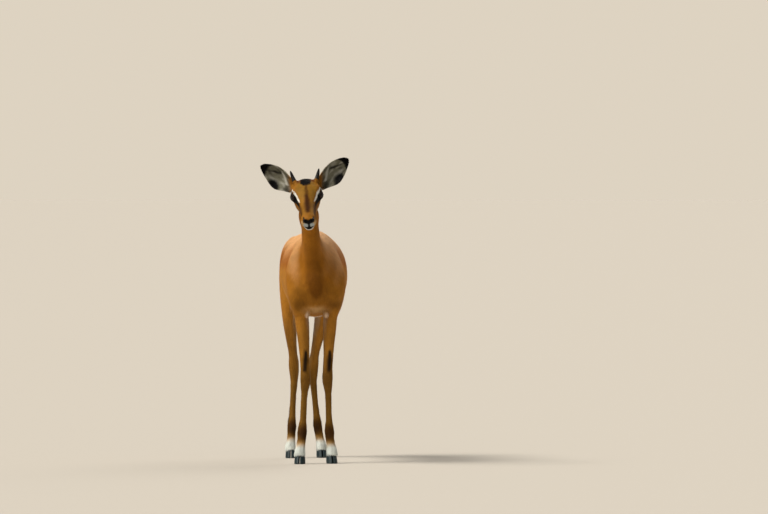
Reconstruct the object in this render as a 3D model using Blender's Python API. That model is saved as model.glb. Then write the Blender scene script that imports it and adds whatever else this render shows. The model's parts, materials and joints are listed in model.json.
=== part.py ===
"""A young impala ram, life size, standing square and alert.

Metres, +Z up. The animal faces -Y, its left side is +X, and the floor is z = 0 under its hooves. Every
length is in metres and every angle in degrees, unless a name says otherwise.

The body is modelled whole, as overlapping lofts that one voxel remesh joins, and is then parted with
thin cuts into the pieces that a person would name. Ears, eyes, horns and hooves are made on their own.
"""

import math

import bmesh
import bpy
import numpy as np
from mathutils import Matrix, Vector

# ------------------------------------------------------------------ driving sizes
GAP = 0.0003                # clearance between neighbouring pieces
RING_POINTS = 32            # points round each loft
RINGS_PER_SPAN = 4          # rings from one station to the next
EGG_POINTS = (24, 16)       # round each egg, and from pole to pole
THINNEST = 0.001            # least half width of a loft

VOXEL = 0.0040              # grain of the joined body
FINE_PASSES = 6             # smoothing of the whole body
BROAD_PASSES = 110          # smoothing that melts the muscles of the trunk together
SMOOTHING = 0.5             # strength of one pass
BODY_FACES = 4450           # triangles kept in the joined body
SHARP_ANGLE = 50.0          # edges sharper than this are shaded sharp

LEFT, RIGHT = 1.0, -1.0     # sign of x on each side
SIDES = (("left", LEFT), ("right", RIGHT))

# How far each foot is set forward (-) or back (+) of its square place.
STEP = {
    ("fore", "left"): 0.012,
    ("fore", "right"): -0.016,
    ("hind", "left"): 0.014,
    ("hind", "right"): -0.012,
}
STEP_GAIN = 1.25            # the leg reaches its full step this much before the floor
LEG_SWAY = {"fore": 0.004, "hind": -0.006}      # how far the legs bow to its left (+) or right (-)
SWAY_TOP = {"fore": 0.62, "hind": 0.55}         # height at which that bow ends
RIB_SWAY = 0.013            # the ribs bow this far to its left
RIB_SWAY_MIDDLE = 0.05      # y of the fullest bow
RIB_SWAY_LENGTH = 0.16      # reach of the bow ahead of and behind that

# The head is modelled level and facing -Y, about the joint with the neck, then tipped and turned.
HEAD_JOINT = Vector((-0.034, -0.318, 0.8330))
HEAD_PITCH = 27.0           # nose down
HEAD_YAW = -4.0             # towards its right
HEAD_ROLL = -5.0            # crown towards its right


def head_matrix():
    """From the level head to where the head is held."""
    turn = Matrix.Rotation(math.radians(HEAD_YAW), 4, "Z")
    lean = Matrix.Rotation(math.radians(HEAD_ROLL), 4, "Y")
    tip = Matrix.Rotation(math.radians(HEAD_PITCH), 4, "X")
    return Matrix.Translation(HEAD_JOINT) @ turn @ lean @ tip


# ------------------------------------------------------------------ lofts
def spline(rows, steps=RINGS_PER_SPAN):
    """A smooth curve through the rows, with `steps` samples in each span."""
    rows = np.array(rows, float)
    padded = np.vstack([2 * rows[0] - rows[1], rows, 2 * rows[-1] - rows[-2]])
    out = []
    for a, b, c, d in zip(padded, padded[1:], padded[2:], padded[3:]):
        for t in np.arange(steps) / steps:
            out.append(0.5 * (2 * b + (c - a) * t + (2 * a - 5 * b + 4 * c - d) * t**2
                              + (3 * b - a - 3 * c + d) * t**3))
    return np.array(out + [rows[-1]])


def ring(centre, side, up, half_width, above, below, square=1.0):
    """Points round an egg: half_width to each side, `above` along up and `below` against it."""
    points = []
    for turn in np.arange(RING_POINTS) * 2 * math.pi / RING_POINTS:
        across, along = math.cos(turn), math.sin(turn)
        across = math.copysign(abs(across) ** square, across) * half_width
        along = math.copysign(abs(along) ** square, along) * (above if along > 0 else below)
        points.append(Vector(centre) + side * across + up * along)
    return points


def skin_rings(name, rings):
    """One closed mesh over the rings, with a point at the middle of each end."""
    bm = bmesh.new()
    loops = [[bm.verts.new(p) for p in points] for points in rings]
    for a, b in zip(loops, loops[1:]):
        for i in range(RING_POINTS):
            j = (i + 1) % RING_POINTS
            bm.faces.new((a[i], a[j], b[j], b[i]))
    for loop in (loops[0], loops[-1]):
        tip = bm.verts.new(sum((v.co for v in loop), Vector()) / RING_POINTS)
        for i in range(RING_POINTS):
            bm.faces.new((loop[i], loop[(i + 1) % RING_POINTS], tip))
    bmesh.ops.recalc_face_normals(bm, faces=bm.faces)
    mesh = bpy.data.meshes.new(name)
    bm.to_mesh(mesh)
    bm.free()
    return mesh


def loft(name, stations, place=Matrix(), upright=False):
    """A body form through stations of (x, y, z, half width, reach above or behind, reach below or ahead,
    squareness), listed from its front or top. Rings stand across its line, or upright."""
    rows = spline([tuple(s) + (1.0,) * (7 - len(s)) for s in stations])
    lines = np.gradient(rows[:, :3], axis=0)
    rings = []
    for row, line in zip(rows, lines):
        line = Vector((0, 1, 0)) if upright else Vector(line).normalized()
        up = Vector((1, 0, 0)).cross(line).normalized()
        points = ring(row[:3], line.cross(up) * -1, up, *np.maximum(row[3:6], THINNEST), row[6])
        rings.append([place @ p for p in points])
    return skin_rings(name, rings)


def egg(name, centre, radii, place=Matrix()):
    """An ellipsoid, for a muscle or a bony swelling."""
    bm = bmesh.new()
    shape = place @ Matrix.Translation(centre) @ Matrix.Diagonal((*radii, 1))
    around, down = EGG_POINTS
    bmesh.ops.create_uvsphere(bm, u_segments=around, v_segments=down, radius=1.0, matrix=shape)
    bmesh.ops.recalc_face_normals(bm, faces=bm.faces)
    mesh = bpy.data.meshes.new(name)
    bm.to_mesh(mesh)
    bm.free()
    return mesh


# ------------------------------------------------------------------ trunk, neck and tail
# y, belly line, widest level, back line, half width, squareness
TRUNK = (
    (-0.290, 0.524, 0.545, 0.570, 0.016, 1.0),
    (-0.272, 0.490, 0.545, 0.610, 0.040, 1.0),
    (-0.238, 0.464, 0.552, 0.662, 0.059, 1.0),
    (-0.190, 0.450, 0.560, 0.696, 0.072, 1.0),
    (-0.130, 0.443, 0.563, 0.709, 0.083, 1.0),
    (-0.060, 0.440, 0.565, 0.703, 0.093, 0.98),
    (0.010, 0.441, 0.565, 0.697, 0.101, 0.98),
    (0.080, 0.451, 0.570, 0.696, 0.103, 0.98),
    (0.140, 0.474, 0.580, 0.698, 0.094, 1.0),
    (0.195, 0.502, 0.594, 0.698, 0.081, 1.0),
    (0.245, 0.530, 0.602, 0.683, 0.064, 1.0),
    (0.288, 0.560, 0.606, 0.653, 0.042, 1.0),
    (0.306, 0.582, 0.604, 0.630, 0.020, 1.0),
)

NECK = (
    (-0.035, -0.342, 0.854, 0.018, 0.022, 0.028),
    (-0.034, -0.325, 0.822, 0.025, 0.031, 0.036),
    (-0.029, -0.305, 0.780, 0.0265, 0.037, 0.039),
    (-0.022, -0.284, 0.735, 0.0275, 0.046, 0.043),
    (-0.017, -0.262, 0.690, 0.0290, 0.060, 0.050),
    (-0.011, -0.238, 0.642, 0.0340, 0.084, 0.059),
    (-0.004, -0.205, 0.598, 0.050, 0.106, 0.072),
    (0.000, -0.160, 0.570, 0.064, 0.110, 0.080),
    (0.000, -0.110, 0.560, 0.060, 0.090, 0.070),
)

TAIL = (
    (0.000, 0.262, 0.662, 0.014, 0.012, 0.014),
    (0.000, 0.300, 0.648, 0.014, 0.010, 0.012),
    (0.001, 0.322, 0.615, 0.015, 0.009, 0.010),
    (0.002, 0.328, 0.570, 0.017, 0.010, 0.010),
    (0.003, 0.323, 0.525, 0.019, 0.012, 0.011),
    (0.004, 0.312, 0.485, 0.017, 0.012, 0.011),
    (0.004, 0.304, 0.455, 0.008, 0.006, 0.006),
)

# ------------------------------------------------------------------ legs, on the left side
FORELEG = (
    (0.040, -0.128, 0.678, 0.010, 0.020, 0.018),
    (0.050, -0.150, 0.640, 0.020, 0.040, 0.034),
    (0.0600, -0.178, 0.585, 0.0300, 0.058, 0.050),
    (0.0615, -0.197, 0.535, 0.0320, 0.064, 0.058),
    (0.0575, -0.195, 0.492, 0.0275, 0.056, 0.050),
    (0.0455, -0.190, 0.453, 0.0230, 0.038, 0.036),
    (0.0420, -0.191, 0.420, 0.0205, 0.028, 0.029),
    (0.0392, -0.193, 0.375, 0.0170, 0.022, 0.023),
    (0.0365, -0.196, 0.320, 0.0142, 0.0160, 0.0165),
    (0.0345, -0.198, 0.282, 0.0142, 0.0155, 0.0160),
    (0.0340, -0.199, 0.258, 0.0160, 0.0170, 0.0180),
    (0.0350, -0.199, 0.238, 0.0142, 0.0170, 0.0150),
    (0.0370, -0.198, 0.212, 0.0104, 0.0125, 0.0108),
    (0.0388, -0.197, 0.165, 0.0095, 0.0120, 0.0095),
    (0.0405, -0.196, 0.128, 0.0104, 0.0130, 0.0102),
    (0.0420, -0.196, 0.102, 0.0146, 0.0165, 0.0135),
    (0.0435, -0.202, 0.080, 0.0126, 0.0140, 0.0120),
    (0.0465, -0.213, 0.056, 0.0128, 0.0125, 0.0115),
    (0.0492, -0.221, 0.037, 0.0158, 0.0160, 0.0160),
    (0.0500, -0.223, 0.024, 0.0172, 0.0180, 0.0185),
    (0.0500, -0.226, 0.010, 0.0165, 0.0175, 0.0180),
)

HINDLEG = (
    (0.030, 0.205, 0.680, 0.018, 0.040, 0.040),
    (0.044, 0.212, 0.636, 0.034, 0.074, 0.068),
    (0.049, 0.208, 0.585, 0.037, 0.094, 0.088),
    (0.052, 0.200, 0.532, 0.034, 0.090, 0.086),
    (0.053, 0.197, 0.486, 0.029, 0.068, 0.077),
    (0.051, 0.206, 0.444, 0.0240, 0.044, 0.057),
    (0.0465, 0.223, 0.402, 0.0192, 0.031, 0.038),
    (0.040, 0.243, 0.356, 0.0150, 0.023, 0.0245),
    (0.0340, 0.261, 0.318, 0.0128, 0.0235, 0.0210),
    (0.0310, 0.271, 0.290, 0.0155, 0.0270, 0.0210),
    (0.0300, 0.273, 0.262, 0.0148, 0.0215, 0.0175),
    (0.0302, 0.272, 0.234, 0.0112, 0.0160, 0.0130),
    (0.0340, 0.268, 0.185, 0.0090, 0.0135, 0.0105),
    (0.0378, 0.264, 0.132, 0.0098, 0.0138, 0.0105),
    (0.0402, 0.262, 0.102, 0.0134, 0.0165, 0.0132),
    (0.0425, 0.256, 0.080, 0.0120, 0.0142, 0.0118),
    (0.0455, 0.246, 0.056, 0.0122, 0.0122, 0.0112),
    (0.0482, 0.238, 0.037, 0.0150, 0.0155, 0.0155),
    (0.0490, 0.236, 0.024, 0.0165, 0.0175, 0.0178),
    (0.0490, 0.233, 0.010, 0.0158, 0.0170, 0.0172),
)
LEGS = {"fore": FORELEG, "hind": HINDLEG}

# Muscles and bony swellings on the left side: name, the leg that it steps with, centre, radii.
BODY_EGGS = (
    ("shoulder_point", None, (0.052, -0.243, 0.522), (0.026, 0.026, 0.034)),
    ("elbow", "fore", (0.0650, -0.158, 0.492), (0.0170, 0.025, 0.019)),
    ("buttock", None, (0.040, 0.270, 0.585), (0.034, 0.040, 0.050)),
    ("hip", None, (0.050, 0.145, 0.642), (0.026, 0.045, 0.028)),
    ("stifle", "hind", (0.054, 0.152, 0.494), (0.020, 0.030, 0.038)),
    ("hock", "hind", (0.031, 0.293, 0.300), (0.0095, 0.010, 0.016)),
)
BRISKET = ((0, -0.250, 0.512), (0.034, 0.034, 0.042))       # centre, radii

HOOF_X = {"fore": 0.0500, "hind": 0.0490}
HOOF_Y = {"fore": -0.2330, "hind": 0.2250}
TOE_OUT = {"fore": 7.0, "hind": 5.0}
HOOF_TOP = 0.0235           # height of the coronet at the middle of the claw
HOOF_TILT = 0.22            # rise of the coronet towards the toe, per metre
HOOF_LEAN = 0.55            # how far the wall leans back, per metre of height
CLAW_LENGTH = 0.0430
CLAW_WIDTH = 0.0168
CLAW_POINTS = 16
CLAW_FLAT = 0.24            # share of its width that the nearly flat inner wall takes
CLAW_ROUNDNESS = (0.85, 0.6)    # powers that square off the outer wall and the inner one
CLAW_POINT = 0.20           # how much narrower it is at the toe
CLAW_LEVELS = ((0.0, 0.94), (0.10, 1.0), (0.60, 0.96), (1.0, 0.88))    # share of height, and of footprint
CLEFT = 0.0012              # gap between the two claws
FOOT_END = (0.034, 0.040, 0.040)    # half sizes of the block that ends the leg at the coronet


def stepped(pair, side_name, point):
    """The point of a leg after its foot is set forward or back, the hip or shoulder staying put."""
    x, y, z = point
    drop = 1 - min(max(z / LEGS[pair][0][2], 0), 1)
    sway = LEG_SWAY[pair] * math.sin(math.pi * min(z / SWAY_TOP[pair], 1))
    return Vector((x + sway, y + STEP[pair, side_name] * min(1, STEP_GAIN * drop), z))


def leg_stations(pair, side_name, sign):
    for x, y, z, *reach in LEGS[pair]:
        place = stepped(pair, side_name, (sign * x, y, z))
        yield (*place, *reach)


# ------------------------------------------------------------------ head, level and facing -Y
# y, jaw line, widest level, profile line, half width, squareness
SKULL = (
    (-0.2060, -0.0140, -0.0020, 0.0060, 0.0110, 1.0),
    (-0.2030, -0.0225, -0.0040, 0.0105, 0.0165, 0.95),
    (-0.1950, -0.0290, -0.0060, 0.0140, 0.0215, 0.92),
    (-0.1830, -0.0300, -0.0080, 0.0160, 0.0236, 0.92),
    (-0.1680, -0.0280, -0.0080, 0.0178, 0.0236, 0.92),
    (-0.1480, -0.0285, -0.0065, 0.0205, 0.0236, 0.93),
    (-0.1220, -0.0325, -0.0045, 0.0258, 0.0258, 0.94),
    (-0.0980, -0.0410, -0.0010, 0.0328, 0.0322, 0.95),
    (-0.0740, -0.0465, 0.0040, 0.0388, 0.0392, 0.97),
    (-0.0500, -0.0475, 0.0080, 0.0425, 0.0430, 0.97),
    (-0.0250, -0.0435, 0.0080, 0.0430, 0.0430, 0.97),
    (-0.0040, -0.0370, 0.0060, 0.0390, 0.0385, 1.0),
    (0.0100, -0.0260, 0.0020, 0.0290, 0.0260, 1.0),
    (0.0180, -0.0120, 0.0000, 0.0140, 0.0120, 1.0),
)
# name, centre, radii, on the middle line
HEAD_EGGS = (
    ("nose", (0, -0.1970, -0.0010), (0.0178, 0.0105, 0.0120)),
    ("chin", (0, -0.1890, -0.0275), (0.0155, 0.0145, 0.0105)),
)
# and on the left side, each with its mirror image on the right
HEAD_SIDE_EGGS = (
    ("brow", (0.0300, -0.0500, 0.0240), (0.0165, 0.0260, 0.0150)),
    ("cheek", (0.0225, -0.0540, -0.0140), (0.0155, 0.0360, 0.0280)),
    ("lip", (0.0122, -0.1860, -0.0125), (0.0138, 0.0190, 0.0140)),
    ("ear_root", (0.0300, 0.0010, 0.0100), (0.0160, 0.0150, 0.0180)),
    ("horn_root", (0.0300, -0.0200, 0.0350), (0.0098, 0.0098, 0.0098)),
)
EYE_CENTRE = Vector((0.0345, -0.0640, 0.0115))
EYE_RADIUS = 0.0148
EYE_POINTS = (14, 8)        # round the eyeball, and from pole to pole
EYE_LOOK = Vector((0.86, -0.48, 0.14)).normalized()
LID = 0.0024                # thickness of lid and hair over the eyeball
EYE_OPENING = (0.0265, 0.0180)
EYE_SLANT = 20.0            # front corner lower than the back one
LID_POINTS = 16
LID_CORNER = 0.35           # how much the almond narrows towards its corners
LID_FLARE = ((0.35, 0.72), (1.5, 1.35))     # distance in eye radii, and scale of the opening there

HORN_BASE = Vector((0.0320, -0.0180, 0.0365))
HORN_RISE = Vector((0.0115, 0.0230, 0.0290))   # base to tip
HORN_BEND = Vector((0.0008, 0.0024, -0.0008))
HORN_RADIUS = 0.0070
HORN_TAPER = 0.5            # how much of its radius it loses from base to tip
HORN_TIP = 5                # power that keeps the roundness to the very tip
HORN_POINTS = 12
HORN_SHARES = (-0.25, 0.0, 0.2, 0.4, 0.6, 0.8, 0.93, 0.99)      # rings, from below the skin to the tip

EAR_BASE = Vector((0.0360, 0.0010, 0.0080))
EAR_TIP = Vector((0.1335, 0.0220, 0.0790))
EAR_FACING = Vector((0.25, -0.85, 0.38))
EAR_DROOP = {"left": 0.0, "right": 5.0}     # each ear is carried this much lower
EAR_TURN = {"left": 0.0, "right": 13.0}     # and turned this much further back
EAR_THICKNESS = 0.0040
EAR_TIP_THINNING = 0.45     # how much thinner the leaf is at its tip
EAR_RIM_THINNING = 0.6      # and at its rims
EAR_NARROWEST = 0.0012
EAR_BOW = 0.006             # how far the leaf bends back at its middle
EAR_SINK = 0.5              # share of the cup's depth that lies behind the ear's line
EAR_COLUMNS = 11
# share of length, reach round the cup to the upper edge, to the lower edge, curl half angle
EAR = (
    (0.00, 0.0325, 0.0325, 120.0),
    (0.12, 0.0330, 0.0360, 104.0),
    (0.26, 0.0325, 0.0420, 84.0),
    (0.38, 0.0320, 0.0480, 70.0),
    (0.50, 0.0310, 0.0460, 59.0),
    (0.64, 0.0278, 0.0370, 48.0),
    (0.78, 0.0215, 0.0268, 40.0),
    (0.90, 0.0140, 0.0170, 33.0),
    (0.975, 0.0068, 0.0085, 27.0),
    (1.00, 0.0016, 0.0016, 24.0),
)


def upright_stations(rows, sway=0.0):
    """Stations of a trunk or head form from (y, bottom, widest, top, half width, squareness)."""
    for y, bottom, widest, top, half_width, square in rows:
        bow = sway * math.exp(-((y - RIB_SWAY_MIDDLE) / RIB_SWAY_LENGTH) ** 2)
        yield (bow, y, widest, half_width, top - widest, widest - bottom, square)


def mirrored(vector, sign):
    return Vector((sign * vector[0], vector[1], vector[2]))


def head_forms():
    """The head's base form, with its nose, lips, chin, cheeks, brows and ear roots."""
    place = head_matrix()
    forms = [loft("skull", list(upright_stations(SKULL)), place, upright=True)]
    forms += [egg(name, centre, radii, place) for name, centre, radii in HEAD_EGGS]
    for _, sign in SIDES:
        forms.append(egg("orbit", mirrored(EYE_CENTRE, sign), (EYE_RADIUS + LID,) * 3, place))
        forms += [egg(name, mirrored(centre, sign), radii, place) for name, centre, radii in HEAD_SIDE_EGGS]
    return forms


# ------------------------------------------------------------------ ears, eyes, horns and hooves
def ear_line(side_name):
    """The left ear's base on the level head, its length, and its directions: along it, towards its lower
    edge, and the way it opens. The right ear mirrors one that is carried lower and turned back."""
    droop = Matrix.Rotation(math.radians(EAR_DROOP[side_name]), 3, "Y")
    back = Matrix.Rotation(math.radians(EAR_TURN[side_name]), 3, "Z")
    line = back @ droop @ (EAR_TIP - EAR_BASE)
    along = line.normalized()
    opening = droop @ EAR_FACING
    facing = (opening - along * opening.dot(along)).normalized()
    return line.length, along, along.cross(facing), facing


def ear_point(line, share, across, upper, lower, curl, outset):
    """A point of the left ear's leaf: `share` of its length, `across` from -1 at the upper edge to 1 at the
    lower one, and `outset` behind the leaf's middle surface."""
    length, along, down, facing = line
    half_angle = math.radians(curl)
    radius = (upper if across < 0 else lower) / half_angle
    angle = across * half_angle
    dip = max(upper, lower) / half_angle
    bow = EAR_BOW * math.sin(math.pi * share)
    return (EAR_BASE + along * share * length + down * (radius * math.sin(angle))
            + facing * (radius * (1 - math.cos(angle)) - dip * EAR_SINK - bow)
            - (facing * math.cos(angle) - down * math.sin(angle)) * outset)


def ear(name, side_name, sign):
    """A cupped leaf: an inner and an outer sheet that meet along the rim."""
    bm = bmesh.new()
    line = ear_line(side_name)
    rows = np.array(EAR)
    rows[:, 1:] = np.maximum(rows[:, 1:], EAR_NARROWEST)
    across = np.sin(np.linspace(-math.pi / 2, math.pi / 2, EAR_COLUMNS))
    sheets = []
    for side in (-0.5, 0.5):
        sheet = []
        for share, upper, lower, curl in rows:
            leaf = side * EAR_THICKNESS * (1 - EAR_TIP_THINNING * share)
            points = [ear_point(line, share, e, upper, lower, curl, leaf * (1 - EAR_RIM_THINNING * e * e))
                      for e in across]
            sheet.append([bm.verts.new(head_matrix() @ mirrored(p, sign)) for p in points])
        sheets.append(sheet)
    inner, outer = sheets
    for a, b, c, d in zip(inner, inner[1:], outer, outer[1:]):
        for i in range(EAR_COLUMNS - 1):
            bm.faces.new((a[i], a[i + 1], b[i + 1], b[i]))
            bm.faces.new((c[i + 1], c[i], d[i], d[i + 1]))
        bm.faces.new((a[0], b[0], d[0], c[0]))
        bm.faces.new((b[-1], a[-1], c[-1], d[-1]))
    for a, c in ((inner[0], outer[0]), (outer[-1], inner[-1])):
        for i in range(EAR_COLUMNS - 1):
            bm.faces.new((a[i + 1], a[i], c[i], c[i + 1]))
    return closed_object(name, bm)


def eye(name, sign, extra=0.0):
    """An eyeball, or its socket with some extra room."""
    bm = bmesh.new()
    place = head_matrix() @ Matrix.Translation(mirrored(EYE_CENTRE, sign))
    around, down = EYE_POINTS
    radius = EYE_RADIUS + extra
    bmesh.ops.create_uvsphere(bm, u_segments=around, v_segments=down, radius=radius, matrix=place)
    return closed_object(name, bm)


def lid_opening(name, sign):
    """The almond between the lids, as a cutter that runs outwards from inside the eyeball."""
    look = mirrored(EYE_LOOK, sign)
    level = Vector((0, 0, 1)).cross(look).normalized()
    level = Matrix.Rotation(math.radians(EYE_SLANT) * sign, 3, look) @ level
    rise = look.cross(level).normalized()
    half_length, half_height = EYE_OPENING[0] / 2, EYE_OPENING[1] / 2
    outline = []
    for turn in np.arange(LID_POINTS) * 2 * math.pi / LID_POINTS:
        across, height = math.cos(turn), math.sin(turn) * (1 - LID_CORNER * math.cos(turn) ** 2)
        outline.append(level * across * half_length + rise * height * half_height)
    bm = bmesh.new()
    rings = []
    for reach, scale in LID_FLARE:
        middle = mirrored(EYE_CENTRE, sign) + look * EYE_RADIUS * reach
        rings.append([bm.verts.new(head_matrix() @ (middle + p * scale)) for p in outline])
    bm.faces.new(rings[0])
    bm.faces.new(rings[1])
    for a, b, c, d in zip(rings[0], rings[0][1:] + rings[0][:1], rings[1][1:] + rings[1][:1], rings[1]):
        bm.faces.new((a, b, c, d))
    return closed_object(name, bm)


def horn(name, sign):
    """A short spike that curves up and outwards."""
    bm = bmesh.new()
    line = HORN_RISE.normalized()
    side = line.cross(Vector((0, 1, 0))).normalized()
    front = line.cross(side)
    loops = []
    for share in HORN_SHARES:
        above = max(share, 0)
        place = HORN_BASE + HORN_RISE * share + HORN_BEND * math.sin(math.pi * above)
        radius = HORN_RADIUS * (1 - HORN_TAPER * share) * math.sqrt(1 - above**HORN_TIP)
        loop = []
        for turn in np.arange(HORN_POINTS) * 2 * math.pi / HORN_POINTS:
            point = place + (side * math.cos(turn) + front * math.sin(turn)) * radius
            loop.append(bm.verts.new(head_matrix() @ mirrored(point, sign)))
        loops.append(loop)
    for a, b in zip(loops, loops[1:]):
        for i in range(HORN_POINTS):
            j = (i + 1) % HORN_POINTS
            bm.faces.new((a[i], a[j], b[j], b[i]))
    bm.faces.new(loops[0])
    bm.faces.new(loops[-1])
    return closed_object(name, bm)


def claw_outline(share):
    """Half the footprint of a claw: reach along it, and reach outwards from its inner wall."""
    turn = share * 2 * math.pi
    along, across = math.cos(turn), math.sin(turn)
    outer_power, inner_power = CLAW_ROUNDNESS
    if across > 0:
        out = CLAW_FLAT + (1 - CLAW_FLAT) * across**outer_power
    else:
        out = CLAW_FLAT * (1 - abs(across) ** inner_power)
    return along * CLAW_LENGTH / 2, CLAW_WIDTH * out * (1 - CLAW_POINT * max(0, along) ** 2)


def coronet(pair, side_name, sign):
    """Where the hair ends and the hoof begins: a frame whose level plane slopes down to the heel."""
    centre = stepped(pair, side_name, (sign * HOOF_X[pair], HOOF_Y[pair], 0))
    toe_out = Matrix.Rotation(math.radians(TOE_OUT[pair]) * sign, 4, "Z")
    lean = Matrix.Translation((0, HOOF_LEAN * HOOF_TOP, HOOF_TOP))
    slope = Matrix.Rotation(-math.atan(HOOF_TILT / (1 - HOOF_LEAN * HOOF_TILT)), 4, "X")
    return Matrix.Translation(centre) @ toe_out @ lean @ slope


def claw(name, pair, side_name, sign, inner):
    """One half of a cloven hoof: a flat sole, a sloping wall, and a top that follows the coronet."""
    centre = stepped(pair, side_name, (sign * HOOF_X[pair], HOOF_Y[pair], 0))
    outwards = -sign if inner else sign
    toe_out = Matrix.Rotation(math.radians(TOE_OUT[pair]) * sign, 3, "Z")
    bm = bmesh.new()
    loops = []
    for level, scale in CLAW_LEVELS:
        loop = []
        for i in range(CLAW_POINTS):
            along, across = claw_outline(i / CLAW_POINTS)
            along, across = along * scale, across * scale
            height = level * (HOOF_TOP + HOOF_TILT * along)
            spot = toe_out @ Vector((outwards * (across + CLEFT / 2), HOOF_LEAN * height - along, height))
            loop.append(bm.verts.new(centre + spot))
        loops.append(loop)
    for a, b in zip(loops, loops[1:]):
        for i in range(CLAW_POINTS):
            j = (i + 1) % CLAW_POINTS
            bm.faces.new((a[i], a[j], b[j], b[i]))
    bm.faces.new(loops[0])
    bm.faces.new(loops[-1])
    return closed_object(name, bm)


# ------------------------------------------------------------------ Blender helpers
def new_object(name, mesh):
    obj = bpy.data.objects.new(name, mesh)
    bpy.context.scene.collection.objects.link(obj)
    return obj


def closed_object(name, bm):
    """A new object from a closed mesh, its faces turned outwards."""
    bmesh.ops.recalc_face_normals(bm, faces=bm.faces)
    mesh = bpy.data.meshes.new(name)
    bm.to_mesh(mesh)
    bm.free()
    return new_object(name, mesh)


def joined(name, meshes):
    bm = bmesh.new()
    for mesh in meshes:
        bm.from_mesh(mesh)
    mesh = bpy.data.meshes.new(name)
    bm.to_mesh(mesh)
    bm.free()
    return new_object(name, mesh)


def box(name, half_sizes, place):
    bm = bmesh.new()
    bmesh.ops.create_cube(bm, size=2.0, matrix=place @ Matrix.Diagonal((*half_sizes, 1)))
    return closed_object(name, bm)


def settle(obj):
    """Bakes the object's modifiers into its mesh."""
    graph = bpy.context.evaluated_depsgraph_get()
    mesh = bpy.data.meshes.new_from_object(obj.evaluated_get(graph))
    obj.modifiers.clear()
    obj.data = mesh
    return obj


def subtract(obj, cutter):
    """Takes the cutter out of the object, and discards the cutter."""
    cut = obj.modifiers.new("cut", "BOOLEAN")
    cut.operation, cut.solver, cut.object = "DIFFERENCE", "EXACT", cutter
    settle(obj)
    bpy.data.objects.remove(cutter)


def finish(obj, colour, roughness):
    """Gives the object its own material and smooth shading."""
    made = bpy.data.materials.new(obj.name)
    made.use_nodes = True
    shader = made.node_tree.nodes["Principled BSDF"]
    shader.inputs["Base Color"].default_value = (*colour, 1)
    shader.inputs["Roughness"].default_value = roughness
    shader.inputs["Metallic"].default_value = 0.0
    made.diffuse_color = (*colour, 1)
    obj.data.materials.clear()
    obj.data.materials.append(made)
    obj.data.shade_smooth()
    obj.data.set_sharp_from_angle(angle=math.radians(SHARP_ANGLE))


# ------------------------------------------------------------------ the joined body
def body_forms():
    """The lofts and eggs that overlap to make the whole animal, without ears, horns, eyes and hooves."""
    forms = [
        loft("trunk", list(upright_stations(TRUNK, RIB_SWAY)), upright=True),
        loft("neck", NECK),
        loft("tail", TAIL),
        egg("brisket", *BRISKET),
    ]
    for side_name, sign in SIDES:
        for pair in LEGS:
            forms.append(loft(pair + side_name, list(leg_stations(pair, side_name, sign))))
        for name, pair, centre, radii in BODY_EGGS:
            place = mirrored(centre, sign)
            forms.append(egg(name, stepped(pair, side_name, place) if pair else place, radii))
    return forms + head_forms()


def fade(value, low, high):
    """0 below low, 1 above high, and smooth between."""
    t = min(max((value - low) / (high - low), 0), 1)
    return t * t * (3 - 2 * t)


def softness(point):
    """How far the forms melt together here: fully on the trunk, and hardly on head, legs and tail."""
    above_legs = fade(point.z, 0.43, 0.50)
    below_neck = 1 - 0.75 * fade(point.z, 0.70, 0.80) * fade(-point.y, 0.18, 0.24)
    before_tail = 1 - fade(point.y, 0.295, 0.315)
    below_head = 1 - fade(point.z - 0.6 * point.y, 0.945, 0.99)
    on_head = 0.07 * fade(point.z, 0.72, 0.74)
    return max(0.07 + on_head, above_legs * below_neck * before_tail * below_head)


def body():
    whole = joined("body", body_forms())
    grain = whole.modifiers.new("join", "REMESH")
    grain.mode, grain.voxel_size = "VOXEL", VOXEL
    settle(whole)
    soft = whole.vertex_groups.new(name="soft")
    for vertex in whole.data.vertices:
        soft.add([vertex.index], softness(vertex.co), "REPLACE")
    for passes, group in ((BROAD_PASSES, "soft"), (FINE_PASSES, "")):
        even = whole.modifiers.new("even", "SMOOTH")
        even.factor, even.iterations, even.vertex_group = SMOOTHING, passes, group
    settle(whole)
    whole.data.calc_loop_triangles()
    thin = whole.modifiers.new("thin", "DECIMATE")
    thin.ratio = BODY_FACES / len(whole.data.loop_triangles)
    return settle(whole)


# ------------------------------------------------------------------ parting the body into its named pieces
# name, centre, normal, half sizes of the cut
MIDDLE_CUTS = (
    ("poll", (-0.033, -0.300, 0.795), (0.0, -0.70, 0.71), (0.060, 0.075)),
    ("neck_base", (-0.006, -0.225, 0.625), (0.0, -0.60, 0.80), (0.090, 0.155)),
    ("tail_root", (0.0, 0.3135, 0.633), (0.0, 1.0, 0.04), (0.024, 0.036)),
)
SIDE_CUTS = (
    ("elbow", "fore", (0.050, -0.192, 0.434), (0.0, 0.0, 1.0), (0.040, 0.060)),
    ("knee", "fore", (0.034, -0.199, 0.255), (0.0, 0.0, 1.0), (0.026, 0.030)),
    ("fetlock_fore", "fore", (0.042, -0.196, 0.100), (0.0, -0.25, 0.97), (0.026, 0.030)),
    ("stifle", "hind", (0.056, 0.196, 0.456), (0.0, -0.16, 0.99), (0.046, 0.105)),
    ("hock", "hind", (0.031, 0.273, 0.272), (0.0, 0.15, 0.99), (0.024, 0.036)),
    ("fetlock_hind", "hind", (0.041, 0.261, 0.100), (0.0, -0.25, 0.97), (0.026, 0.030)),
)

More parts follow.
